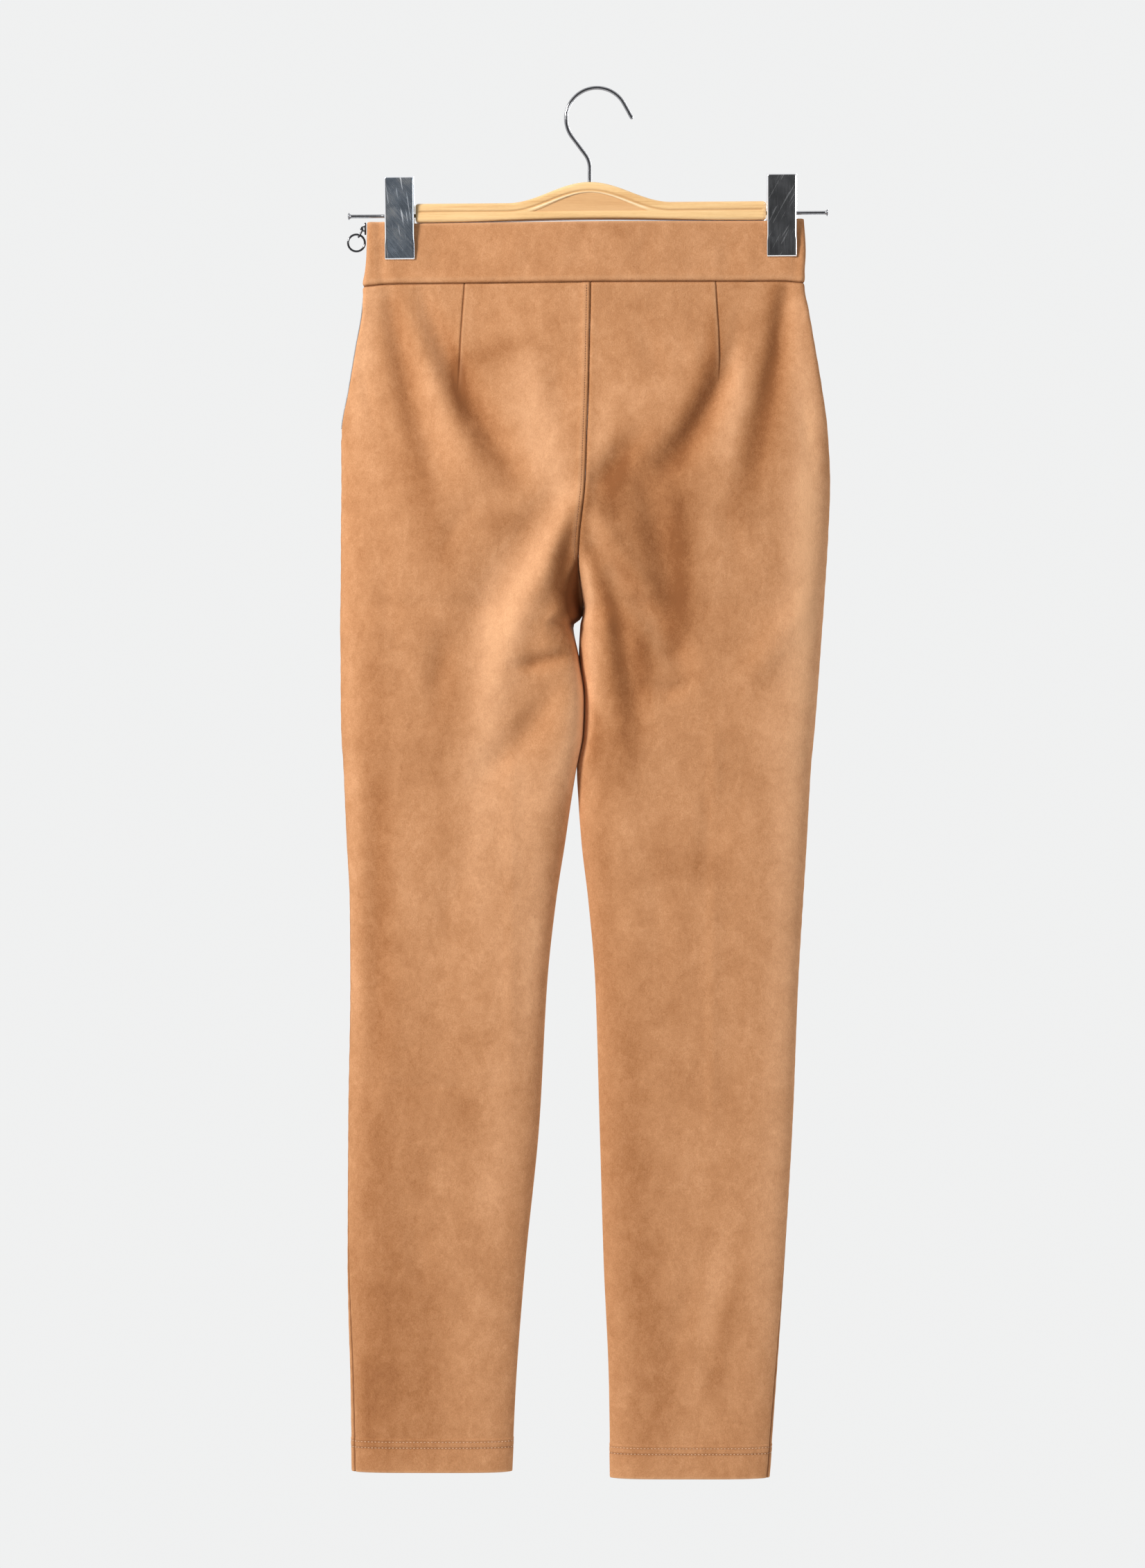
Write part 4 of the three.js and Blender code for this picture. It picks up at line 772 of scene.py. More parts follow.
def leg_panel(side, face):
    """One side of the back or the front, in one piece from the waist to the hem."""
    seed = 10 * SIDES.index(side) + 100 * FACES.index(face)
    across, down = STEP[face]
    hem, on_back = HEM[side], face == "back"
    drops = merged_drops(
        WAIST + SEAM_GAP + EDGE_STEPS,
        np.arange(WAIST + 10, hem - 4, down),
        hem - FOLDED_EDGE,
        *[hem - line + LINE_STEPS[3:8] * 1.4 for line in STITCH_ROWS["hem"]],
        hem - HEM_HEIGHT + LINE_STEPS[2:9],
    )
    sections = [side_section(side, drop) for drop in drops]
    if on_back:
        start = seam[side](drops) + SEAM_GAP
        end = np.array([section.back for section in sections]) - SEAM_GAP
        line, groove = dart_line(side, drops, sections, start, end)
    else:
        start = SEAM_GAP - np.array([section.front for section in sections])
        zipped = ZIP_WIDTH * (1 - smoothstep(drops, ZIP_END - 1, ZIP_END + 4))
        end = seam[side](drops) - (zipped if side == "left" else 0) - SEAM_GAP
        line, groove = (start + end) / 2, 0 * drops
    distance = spread(across, (start, EDGE_STEPS), (line, LINE_STEPS), (end, -EDGE_STEPS[::-1]))
    cloth = Cloth(sections, drops, distance, (0, TOWARDS[face], 0))

    outer_side, inner_side = (cloth.from_start, cloth.from_end)[:: 1 if on_back else -1]
    under_band, above_hem = cloth.drop - WAIST, hem - cloth.drop
    from_dart, groove = cloth.distance - line[:, None], groove[:, None]
    above_crotch = 1 - smoothstep(cloth.drop, CROTCH - 16, CROTCH)
    # Beside the middle seam the relief stands straight off the face, and not into the cleft.
    cloth.normal[..., 0] *= 1 - above_crotch * (1 - smoothstep(inner_side, 0, 6))
    cloth.normal /= np.linalg.norm(cloth.normal, axis=2, keepdims=True)

    height = relief_of_noise(cloth, seed)
    creases = fold_height(CREASES[face], cloth.x, cloth.drop)
    height += creases * smoothstep(np.minimum(outer_side, inner_side), 0, 10)
    height += seam_relief(outer_side) + seam_relief(inner_side) + seam_relief(under_band)
    height += puckers(inner_side, cloth.drop, *PUCKERS["inner"], seed) * above_crotch
    height += puckers(outer_side, cloth.drop, *PUCKERS["outer"], seed + 3)
    height += puckers(np.abs(above_hem - 20), cloth.distance, *PUCKERS["hem"], seed + 5)
    strip, cleft = 0, 0
    if side == "left" and on_back:
        strip = 1 - smoothstep(inner_side, STRIP["width"] - 1, STRIP["width"] + 0.8)
        strip = strip * (1 - smoothstep(cloth.drop, STRIP["end"] - 16, STRIP["end"]))
        cleft = fold_height(CLEFT_SHADE, cloth.x, cloth.drop)
        from_row = inner_side - STITCH_ROWS["middle"]
        dip = STITCH_DIP["middle"] * bell(from_row, STITCH_DIP["width"])
        height += strip * (STRIP["height"] - dip)
    height -= groove * DART_DIP["depth"] * bell(from_dart, DART_DIP["width"])
    rise, fall = (smoothstep(from_dart, *DART_ALLOWANCE[key]) for key in ("rise", "fall"))
    height += groove * DART_ALLOWANCE["height"] * rise * (1 - fall)
    in_hem = 1 - smoothstep(above_hem, HEM_HEIGHT - 0.5, HEM_HEIGHT + 0.9)
    height += HEM_RAISE * in_hem
    for row in STITCH_ROWS["hem"]:
        height -= STITCH_DIP["hem"] * bell(above_hem - row, STITCH_DIP["width"])
    cloth.raise_face(height, lerp(CLOTH, HEM_CLOTH, in_hem), rounded_in(above_hem, HEM_CLOTH / 2))

    # Painted shade along the seams, in the dart's groove, in the cleft and in the hem's rows of
    # stitches.
    lines = [bell(away, SEAM_LINE) for away in (outer_side, inner_side, under_band)]
    lines += [0.8 * groove * bell(from_dart, SEAM_LINE), cleft]
    rows = zip(STITCH_ROWS["hem"], HEM_ROW_SHADE)
    lines += [dark * bell(above_hem - row, 0.7) for row, dark in rows]
    # Paler along the hem's fold, the dart's raised side and the raised strip: partly rubbed wear,
    # partly a painted highlight where they catch the light.
    worn = wear_and_highlight_line(above_hem, "hem") + groove * wear_and_highlight_line(from_dart, "dart")
    worn = worn + strip * wear_and_highlight_line(inner_side, "strip")
    nodes = [f"{face}_{side}_{stretch}" for stretch in ("hip", "thigh", "shin")]
    # The nap mark carries painted light and shade along the folds, with some brushed nap.
    cloth.make(
        f"{face}_{side}_panel", nodes, suede, worn=worn,
        shade=np.max(np.broadcast_arrays(*lines), axis=0),
        nap=fold_height(NAP_AND_PAINTED_SHADING[face], cloth.x, cloth.drop),
    )
    return cloth


def waistband(face):
    seed = 300 + 10 * FACES.index(face)
    across, down = STEP["band"]
    bottom = WAIST - SEAM_GAP
    even = np.arange(BAND_TOP + 6, bottom - 8, down)
    drops = merged_drops(BAND_TOP + FOLDED_EDGE * 1.3, even, bottom - EDGE_STEPS)
    sections = [waist_ring(drop) for drop in drops]
    left, right = (seam[side](drops) for side in SIDES)
    if face == "back":
        start = left + SEAM_GAP
        end = np.array([section.back for section in sections]) - right - SEAM_GAP
    else:
        start = right + SEAM_GAP - np.array([section.front for section in sections])
        end = left - ZIP_WIDTH - SEAM_GAP
    distance = spread(across, (start, EDGE_STEPS), (end, -EDGE_STEPS[::-1]))
    cloth = Cloth(sections, drops, distance, (0, TOWARDS[face], 0))
    ends = np.minimum(cloth.from_start, cloth.from_end)
    under, over = cloth.drop - BAND_TOP, bottom - cloth.drop
    height = relief_of_noise(cloth, seed) * 0.8 + seam_relief(ends) + seam_relief(over)
    height += fold_height(BAND_CREASES, cloth.x, cloth.drop) * smoothstep(ends, 0, 8)
    height += 0.5 * bell(over - 4.5, 4) + puckers(over, cloth.distance, *PUCKERS["band"], seed)
    cloth.raise_face(height, BAND_CLOTH, rounded_in(under, BAND_CLOTH / 2))
    # Painted shade in the seams. The worn mark is paler along the folded top and the puffed foot
    # above the seam, partly rubbed wear and partly a painted highlight. The nap mark carries painted
    # light and shade, with some brushed nap.
    cloth.make(
        f"waistband_{face}_panel", [f"waistband_{face}"], suede,
        shade=np.maximum(bell(ends, SEAM_LINE), bell(over, SEAM_LINE * 1.2)),
        worn=wear_and_highlight_line(under, "band_top") + wear_and_highlight_line(over, "band_foot"),
        nap=fold_height(NAP_AND_PAINTED_SHADING["band"], cloth.x, cloth.drop),
    )


def zip_tape():
    drops = np.linspace(BAND_TOP + 0.5, ZIP_END - 1.5, TAPE_GRID[0])
    sections = [side_section("left", drop) for drop in drops]
    start, end = seam["left"](drops) - ZIP_WIDTH + 0.3, seam["left"](drops) - 0.3
    distance = start[:, None] + (end - start)[:, None] * np.linspace(0, 1, TAPE_GRID[1])
    cloth = Cloth(sections, drops, distance, (-1, 0, 0))
    ribs = TAPE_RIB["height"] * np.sin(2 * np.pi * cloth.drop / TAPE_RIB["pitch"])
    cloth.raise_face(ribs - ZIP_SINK, CLOTH)
    cloth.make("woven_tape", ["zip_tape"], tape, "zip_tape", TAPE_WIDTH)
    return cloth


# ---- Sewing and the zip's teeth ----


def thread_stitch():
    """One stitch lying along X, with its ends going down into the cloth."""
    t = np.linspace(-1, 1, 7)
    path = np.column_stack([STITCH["half"] * t, 0 * t, 0.16 - 0.34 * t**4])
    return tube(path, STITCH["radius"], sides=6, taper=0.35 + 0.65 * np.sqrt(1 - 0.96 * t**2))


def chamfered_block(size, cut):
    """A block with its upper edges cut off, centred on its foot."""
    a, b, c = size[0] / 2, size[1] / 2, size[2]
    corners = np.array([(-1, -1), (1, -1), (1, 1), (-1, 1)])
    levels = ((a, b, 0), (a, b, c - cut), (a - cut, b - cut, c))
    points = [(x * u, y * v, z) for x, y, z in levels for u, v in corners]
    index = np.arange(12).reshape(3, 4)
    ahead = np.roll(index, -1, axis=1)
    walls = np.stack([index[:-1], ahead[:-1], ahead[1:], index[1:]], -1).reshape(-1, 4)
    return np.array(points), [index[0][::-1], index[2], *walls]


def frames_of(cloth, places):
    return [cloth.place(distance, drop) for distance, drop in places]


def sewing(name, template, places, material):
    piece = make_object(name, *repeated(template, places), material)
    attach(piece, "root")


def middle_stitches(cloth):
    """A row of stitches beside the middle seam, which run down the cloth and not across it."""
    drops = np.arange(WAIST + 3, STRIP["end"], STITCH["middle"])
    ends = np.interp(drops, cloth.drops, cloth.distance[:, -1])
    frames = frames_of(cloth, zip(ends - STITCH_ROWS["middle"], drops))
    return [(centre, down, -along, normal) for centre, along, down, normal in frames]


def hem_stitches(cloth, side):
    places = []
    for row in STITCH_ROWS["hem"]:
        drop = HEM[side] - row
        start, end = (np.interp(drop, cloth.drops, cloth.distance[:, k]) for k in (0, -1))
        count = int((end - start) / STITCH["hem"])
        places += [(start + (k + 0.5) * (end - start) / count, drop) for k in range(count)]
    return frames_of(cloth, places)


def zip_teeth(cloth):
    """Two rows of teeth, which take turns down the middle of the tape."""
    drops = np.arange(TEETH["start"], TEETH["end"], TEETH["pitch"])
    middles = np.interp(drops, cloth.drops, cloth.distance.mean(axis=1))
    aside = TEETH["aside"] * np.where(np.arange(len(drops)) % 2, 1, -1)
    return frames_of(cloth, zip(middles + aside, drops))


# ---- Hardware ----
PULL = {  # the zip's pull; a lean is in degrees from straight down, towards the wearer's left
    "y": 1.5, "pivot": (-182.6, 108.2),
    "link_lean": 26, "link_length": 7.1, "link_half": 2, "link_wire": 0.7,
    "ring_lean": 20, "ring_radius": 6.55, "ring_wire": 0.82, "ring_hang": 4.9,
    "bail_reach": 2.9, "bail_half": 1.7, "bail_wire": 0.55,
    "slider_face": 1.5, "slider_size": (1.3, 6.4, 9.5),
}
PIVOT = np.array([PULL["pivot"][0], PULL["y"], -PULL["pivot"][1]])


def leaning(degrees):
    return np.array([-math.sin(math.radians(degrees)), 0, -math.cos(math.radians(degrees))])


def zip_link():
    """A long closed loop of wire across the pivot, with a half circle at each end."""
    down, half = leaning(PULL["link_lean"]), PULL["link_half"]
    straight = PULL["link_length"] - 2 * half
    bend, run = np.linspace(0, np.pi, 13), np.linspace(0.1, 0.9, 5)
    loop = [(half, half + straight * t) for t in run]
    loop += [(half * math.cos(a), half + straight + half * math.sin(a)) for a in bend]
    loop += [(-half, half + straight * (1 - t)) for t in run]
    loop += [(-half * math.cos(a), half - half * math.sin(a)) for a in bend]
    path = [PIVOT + down * along + np.array([0, across, 0]) for across, along in loop]
    shape = tube(path, PULL["link_wire"], 14, closed=True)
    fitted("pull_link", "zip_link", shape, chrome_dark, body="zip_link")


def zip_ring():
    centre = PIVOT + leaning(PULL["link_lean"]) * PULL["link_length"]
    centre = centre + leaning(PULL["ring_lean"]) * PULL["ring_hang"]
    angle = np.linspace(0, 2 * np.pi, 72, endpoint=False)
    circle = np.column_stack([np.cos(angle), 0 * angle, np.sin(angle)])
    shape = tube(centre + PULL["ring_radius"] * circle, PULL["ring_wire"], 18, closed=True)
    fitted("pull_ring", "zip_ring", shape, chrome_dark, body="zip_ring")


def zip_slider():
    """A shield-shaped body with rounded edges, and the bail that holds the link."""
    thick, wide, tall = PULL["slider_size"]
    face, middle = PULL["pivot"][0] + PULL["slider_face"], -PULL["pivot"][1]

    def squarish(value):
        return np.sign(value) * abs(value) ** 0.6

    def shield(a, b):
        inset, up = 0.45 * (1 - math.sin(a)), squarish(math.sin(b))
        return (
            face + thick / 2 - thick / 2 * math.cos(a),
            PULL["y"] + squarish(math.cos(b)) * (wide / 2 * (1 - 0.16 * (1 - up)) - inset),
            middle + up * (tall / 2 - inset),
        )

    turn = np.linspace(0, 2 * np.pi, 49)[:-1]
    grid = np.array([[shield(a, b) for b in turn] for a in np.linspace(0, np.pi, 9)])
    index = np.arange(grid[..., 0].size).reshape(grid.shape[:2])
    sides = quads_of(np.column_stack([index, index[:, 0]]))
    body = grid.reshape(-1, 3), [*sides, index[0][::-1], index[-1]]
    arc = np.linspace(0, np.pi, 21)
    bail = np.column_stack([
        face + 0.3 - (PULL["bail_reach"] + 0.3) * np.sin(arc),
        np.full(21, PULL["y"]),
        middle + PULL["bail_half"] * np.cos(arc),
    ])
    shape = joined([body, tube(bail, PULL["bail_wire"], 12)])
    fitted("slider", "zip_slider", shape, chrome_dark)


# The hanger's own frame has X from the stem and Z from the rod, and tilts with it.
TILTED = Matrix.Rotation(-math.atan(TILT), 4, "Y")
HANG = Matrix.Translation(Vector((STEM_X, 0, -ROD_DROP))) @ TILTED


def hung(shape):
    """Points and faces in the hanger's own frame, moved to where it hangs."""
    points, faces = shape
    turn = np.array(HANG.to_3x3())
    return np.asarray(points, float) @ turn.T + np.array(HANG.translation), faces


def hook():
    """The wire: a stem, a bend, a slanting neck, a crook and a straight rounded tip."""
    slant, end, fillet = math.atan2(0.6, 0.8), math.radians(29), 6
    centre = np.array([0, WIRE / 2 - HOOK_RADIUS])

    def on_crook(angle):
        return centre + HOOK_RADIUS * np.array([math.cos(angle), math.sin(angle)])

    first, last = on_crook(math.pi + slant), on_crook(end)
    bend = first[1] - (STEM_X - first[0]) / math.tan(slant)
    corner, into = np.array([STEM_X, bend]), np.array([STEM_X, bend - fillet])
    out = np.array([STEM_X - fillet * math.sin(slant), bend + fillet * math.cos(slant)])
    tip = last + HOOK_TIP * np.array([math.sin(end), -math.cos(end)])
    t = np.linspace(0, 1, 13)[:, None]
    to_end = np.array([0.1, 0.3, 0.5, 0.7, 0.85, 0.9, 0.94, 0.97, 0.99, 1.0])[:, None]
    flat = np.vstack([
        lerp(np.array([STEM_X, -STEM_END]), into, np.linspace(0, 0.95, 6)[:, None]),
        lerp(lerp(into, corner, t), lerp(corner, out, t), t),
        lerp(out, first, np.linspace(0.05, 0.95, 8)[:, None]),
        [on_crook(a) for a in np.linspace(math.pi + slant, end, 73)],
        lerp(last, tip, to_end),
    ])
    path = np.column_stack([flat[:, 0], 0 * flat[:, 0], flat[:, 1]])
    to_tip = np.clip(np.linalg.norm(flat - tip, axis=1) / (WIRE / 2), 0, 1)
    taper = np.sqrt(1 - (1 - to_tip) ** 2) * 0.94 + 0.06
    fitted("wire_hook", "hook", tube(path, WIRE / 2, 20, taper=taper), chrome_wire)


ROD_HEAD = points_of("0 .25, .12 1.5, .3 2.2, .6 2.6, .95 2.7, 1.3 2.55, 1.7 2.1, 2.2 1.65")


def rod(side):
    """A round bar with a flared and rounded head at its outer end."""
    inward = 1 if side == "left" else -1
    head, end = ROD_ENDS[side] - STEM_X, WOOD_ENDS[side] - STEM_X + inward * ROD_IN_WOOD
    profile = ROD_HEAD + [(along, ROD_RADIUS) for along in (2.7, 3.4, abs(end - head))]
    path = [(head + inward * along, 0, 0) for along, _ in profile]
    shape = tube(path, 1, 24, taper=[radius for _, radius in profile])
    fitted(f"steel_rod_{side}", f"rod_{side}", hung(shape), chrome_wire)


HUMP = {"height": 16, "width": 64}
ARCH = {"height": 1.8, "width": 125}
PANEL = {"half": 51, "height": 15.6, "foot": 1.5, "depth": 0.8}
WOOD_EDGE = 2.6  # radius of the bar's rounded edges
LIP_HEIGHT = 6.6  # the routed line runs this far under the bar's top edge
ROUTED = {"depth": 0.55, "width": 0.85}
BEAD = {"height": 0.35, "under": 1.9, "width": 0.7}  # a raised line under that one, on the hump
BAR_CORNER = 2.5


def hump(x, width):
    return np.cos(np.pi / 2 * np.clip(np.abs(x) / width, 0, 1)) ** 2


def wooden_bar():
    """A bar with a hump and an arch in its middle, a sunken field, and a routed line."""
    left, right = (WOOD_ENDS[side] - STEM_X for side in SIDES)
    middle = ROD_DROP - WOOD_MID
    edge = WOOD_EDGE * np.array([0, 0.02, 0.08, 0.18, 0.32, 0.5, 0.72, 1.0, 1.4])
    x = np.concatenate([left + edge, np.arange(left + 5, right - 4.5, 1.4), (right - edge)[::-1]])
    from_end = np.minimum(x - left, right - x)
    corner = rounded_in(from_end, BAR_CORNER)
    top = middle + WOOD_HEIGHT / 2 + HUMP["height"] * hump(x, HUMP["width"]) - corner
    foot = middle - WOOD_HEIGHT / 2 + ARCH["height"] * hump(x, ARCH["width"]) + corner
    rise, inner = edge[:-1, None], np.linspace(0, 1, 72)[1:-1, None]
    z = np.vstack([
        foot + rise,
        (foot + WOOD_EDGE) + inner * (top - foot - 2 * WOOD_EDGE),
        top - rise[::-1],
    ])
    wide = np.broadcast_to(x, z.shape)
    inset = rounded_in(np.minimum(np.minimum(z - foot, top - z), from_end), WOOD_EDGE)
    lip = top - LIP_HEIGHT
    groove = ROUTED["depth"] * bell(z - lip, ROUTED["width"]) * smoothstep(from_end, 1.5, 4)
    bead = BEAD["height"] * bell(z - lip + BEAD["under"], BEAD["width"])
    bead = bead * smoothstep(top - middle, 9, 12)
    field = PANEL["foot"] + PANEL["height"] * hump(wide, PANEL["half"]) ** 0.8
    inside = smoothstep(z, PANEL["foot"], PANEL["foot"] + 0.7)
    inside = inside * (1 - smoothstep(z, field - 0.9, field - 0.1))
    inside = inside * (np.abs(wide) < PANEL["half"])
    outside = 1 - inside
    sunk = np.maximum(groove - bead, 0) * outside + PANEL["depth"] * inside - bead * outside
    away = WOOD_THICK / 2 - inset - sunk
    shape = closed_wall(*(np.stack([wide, sign * away, z], -1) for sign in (-1, 1)))
    fitted(
        "wooden_bar", "hanger_bar", hung(shape), wood, "wood", sunken=inside,
        routed=groove / ROUTED["depth"] * outside, raised=bead / BEAD["height"] * outside,
    )


# The edge of a jaw's flanges from below, seen along the rod: z and y. Past both ends it runs
# with the plate, this far behind it.
FLANGE = points_of("-14 -4.3, -4.2 -4.4, -2.4 3, 3.4 3, 10 -3.6")
FLANGE_BEHIND = {"below": 1.1, "above": 3.5}
CLIP_LEAN = 0.135
CLIP_PLAY = 0.5  # between the plate's inner face and the cloth at its lower edge
CLIP_CORNER = 1.9  # radius of the plate's rounded edges
JAW_NESTING = 0.8  # how much narrower the inner jaw is than the outer one's inside
COIL = {"wire": 0.6, "turns": 6.5, "half": 5.4, "radius": 3.1}


def clip_jaw(side, part):
    """A leaning plate whose edges turn back all round, with two flanges down to the rod."""
    inner = part == "inner"
    width = CLIP_WIDTH - 2 * SHEET - JAW_NESTING if inner else CLIP_WIDTH
    bottom, top, radius = -CLIP_BELOW, CLIP_ABOVE, CLIP_CORNER
    at_bottom, thin = PINCH + SHEET + CLIP_PLAY, FLANGE_BEHIND["below"]

    def plate(z):
        return -(at_bottom + (z - bottom) * CLIP_LEAN)

    foot = [(z, plate(z) + thin) for z in (bottom, bottom + 12)]
    flange = np.array([*foot, *FLANGE, (top, plate(top) + FLANGE_BEHIND["above"])])
    curl = radius * np.array([0, 0.03, 0.12, 0.27, 0.5, 0.8, 1.2])
    z = np.concatenate([bottom + curl, np.linspace(bottom + 4, top - 4, 64), (top - curl)[::-1]])
    to_end = np.minimum(z - bottom, top - z)
    front = plate(z) + rounded_in(to_end, radius) * np.where(z > 0, 1.0, 0.55)
    back = np.maximum(np.interp(z, *flange.T), front + thin)
    arc = [(1 - math.cos(a), 1 - math.sin(a)) for a in np.linspace(0, np.pi / 2, 8)]
    edge, rows = width / 2, []
    for z_here, y_front, y_back in zip(z, front, back):
        bend = min(radius, (y_back - y_front) * 0.8)
        half = [(-edge, lerp(y_back, y_front + bend, t)) for t in np.linspace(0, 0.98, 9)]
        half += [(bend * u - edge, y_front + bend * v) for u, v in arc]
        half += [(lerp(-edge + bend, 0, t), y_front) for t in np.linspace(0.08, 1, 10)]
        rows.append([(x, y, z_here) for x, y in half + [(-x, y) for x, y in half[-2::-1]]])
    outer = np.array(rows)
    normal = grid_normals(outer, np.array([0, -1, 0]))
    points, faces = closed_wall(outer, outer - normal * SHEET)
    if inner:
        points, faces = points * [1, -1, 1], faces[:, ::-1]
    points = points + [CLIP_X[side] - STEM_X, 0, 0]

    # The rims get a painted highlight, but for the left clip's inner side, which gets painted shade,
    # as it lies in its own shade.
    left_rim, right_rim = (
        1 - smoothstep(edge - sign * outer[..., 0], radius * 0.7, radius * 1.1) for sign in (-1, 1)
    )
    end_rim = 1 - smoothstep(to_end, radius * 0.5, radius * 0.8)[:, None]
    right_rim_painted_light = 0.8 if side == "right" else -0.5
    rim = 0.9 * left_rim + right_rim_painted_light * right_rim * (1 - end_rim) + 0.8 * end_rim * (1 - left_rim)
    metal = clip_chrome_painted_reflections["back" if inner else side]
    fitted(f"jaw_{side}_{part}", f"clip_{side}_{part}", hung((points, faces)), metal, rim=rim)


def clip_spring(side):
    """A coil round the rod between the clip's flanges."""
    half, radius = COIL["half"], COIL["radius"]
    t = np.linspace(0, 1, 150)
    angle = 2 * np.pi * COIL["turns"] * t + np.pi / 4
    path = np.column_stack([lerp(-half, half, t), radius * np.cos(angle), radius * np.sin(angle)])
    path[:, 0] += CLIP_X[side] - STEM_X
    fitted(f"coil_{side}", f"clip_{side}_spring", hung(tube(path, COIL["wire"], 8)), chrome_wire)


# ---- Materials ----


class Nodes:
    """A tree whose nodes are made one by one, and joined as they are made."""

    def __init__(self, tree):
        self.tree = tree

    def node(self, kind, settings=None, **inputs):
        made = self.tree.nodes.new("ShaderNode" + kind)
        for key, value in (settings or {}).items():
            setattr(made, key, value)
        return self.fed(made, **inputs)

    def fed(self, node, **inputs):
        for key, value in inputs.items():
            self.feed(node.inputs[key.replace("_", " ")], value)
        return node

    def feed(self, socket, value):
        if isinstance(value, bpy.types.NodeSocket):
            self.tree.links.new(value, socket)
        else:
            socket.default_value = value

    def ramp(self, value, *stops):
        made = self.node("ValToRGB", Fac=value)
        elements = made.color_ramp.elements
        while len(elements) < len(stops):
            elements.new(0.5)
        for element, (place, colour) in zip(elements, stops):
            element.position, element.color = place, (*colour, 1)
        return made.outputs["Color"]


class Shader(Nodes):
    """The nodes of a material."""

    def __init__(self, name, **constants):
        self.material = bpy.data.materials.new(name)
        self.material.use_nodes = True
        super().__init__(self.material.node_tree)
        self.surface = self.fed(self.tree.nodes["Principled BSDF"], **constants)

    def noise(self, size, stretch=(1, 1, 1), turn=(0, 0, 0), detail=2.0, distortion=0.0):
        """Noise with bumps of a size in millimetres, drawn out along an axis by its stretch."""
        place = self.node("TexCoord").outputs["Object"]
        place = self.node("Mapping", Vector=place, Rotation=turn).outputs[0]
        scale = tuple(1 / (size * MM * s) for s in stretch)
        place = self.node("Mapping", Vector=place, Scale=scale).outputs[0]
        made = self.node("TexNoise", Vector=place, Scale=1.0, Detail=detail, Distortion=distortion)
        return made.outputs["Fac"]

    def math(self, operation, a, b, clamp=False):
        made = self.node("Math", {"operation": operation, "use_clamp": clamp})
        self.feed(made.inputs[0], a)
        self.feed(made.inputs[1], b)
        return made.outputs[0]

    def weighted(self, start, *terms):
        """start + the sum of weight x (noise - 0.5)."""
        total = start
        for weight, value in terms:
            term = self.math("MULTIPLY", self.math("SUBTRACT", value, 0.5), weight)
            total = self.math("ADD", total, term)
        return total

    def mixed(self, amount, a, b):
        made = self.node("Mix", {"data_type": "RGBA"})
        self.feed(made.inputs["Factor"], amount)
        for socket, value in zip((s for s in made.inputs if s.type == "RGBA"), (a, b)):
            self.feed(socket, value if isinstance(value, bpy.types.NodeSocket) else (*value, 1))
        return next(s for s in made.outputs if s.type == "RGBA")

    def mark(self, name):
        return self.node("Attribute", {"attribute_name": name}).outputs["Fac"]

    def tinted(self, colour, mark, amount, tint):
        """The colour with some of a tint where one of the piece's own marks says so."""
        return self.mixed(self.math("MULTIPLY", self.mark(mark), amount, clamp=True), colour, tint)

    def bump(self, *layers):
        """Layers of (height, millimetres)."""
        below = None
        for height, size in layers:
            made = self.node("Bump", Height=height, Distance=size * MM, Strength=1.0)
            if below is not None:
                self.feed(made.inputs["Normal"], below)
            below = made.outputs[0]
        self.feed(self.surface.inputs["Normal"], below)

    def finish(self, **outputs):
        self.fed(self.surface, **outputs)
        return self.material


SUEDE = [  # from darkest to palest: the suede's own mottled tone, and the painted shade and light that the nap marks add
    (0.0, (0.28, 0.105, 0.036)),
    (0.25, (0.412, 0.177, 0.070)),
    (0.5, (0.548, 0.262, 0.119)),
    (0.75, (0.70, 0.362, 0.184)),
    (1.0, (0.85, 0.472, 0.25)),
]
WOOD = [(0.2, (0.72, 0.42, 0.175)), (0.5, (0.89, 0.585, 0.275)), (0.8, (0.95, 0.68, 0.36))]
FLOOR_TONES = [(0.3, (0.78, 0.79, 0.80)), (0.7, (0.80, 0.81, 0.82))]


def suede_material():
    """Short brushed nap: soft clouds of lighter and darker nap over a fine even grain."""
    s = Shader(
        "suede", Roughness=0.93, Specular_IOR_Level=0.16,
        Sheen_Weight=0.18, Sheen_Roughness=0.42, Sheen_Tint=(1, 0.68, 0.44, 1),
    )
    clouds = s.noise(30, stretch=(1, 1, 1.5), turn=(0, 0.2, 0), detail=3, distortion=0.4)
    patches = s.noise(11, stretch=(1, 1, 1.4), turn=(0, -0.15, 0), detail=3, distortion=0.7)
    marks = s.noise(3.4, stretch=(1, 1, 1.3), turn=(0, 0.3, 0), detail=2, distortion=0.5)
    grain = s.noise(0.8, stretch=(1, 1, 1.3), detail=2)
    tone = s.weighted(0.5, (0.3, clouds), (0.32, patches), (0.22, marks), (0.42, grain))
    # The nap mark adds painted light and shade along the folds, and some brushed nap, to the suede's
    # own tone.
    colour = s.ramp(s.math("ADD", tone, s.mark("nap")), *SUEDE)
    # The worn mark: partly rubbed wear, partly a painted highlight on raised ridges and folded
    # edges.
    colour = s.tinted(colour, "worn", 0.75, (0.75, 0.44, 0.245))
    colour = s.tinted(colour, "shade", 0.85, (0.165, 0.055, 0.016))
    s.bump((patches, 0.25), (marks, 0.18), (grain, 0.16))
    return s.finish(Base_Color=colour)


def woven_material(name, dark, pale, size=0.6, stretch=0.4, relief=0.1, **constants):
    """Threads in two tones: the tape's weave, or the twist of a sewing thread."""
    s = Shader(name, **constants)
    weave = s.noise(size, stretch=(1, 1, stretch), detail=1)
    s.bump((weave, relief))
    return s.finish(Base_Color=s.ramp(weave, (0.3, dark), (0.7, pale)))


def thread_material(name, dark, pale):
    return woven_material(name, dark, pale, 0.25, 2, 0.06, Roughness=0.7, Sheen_Weight=0.2)


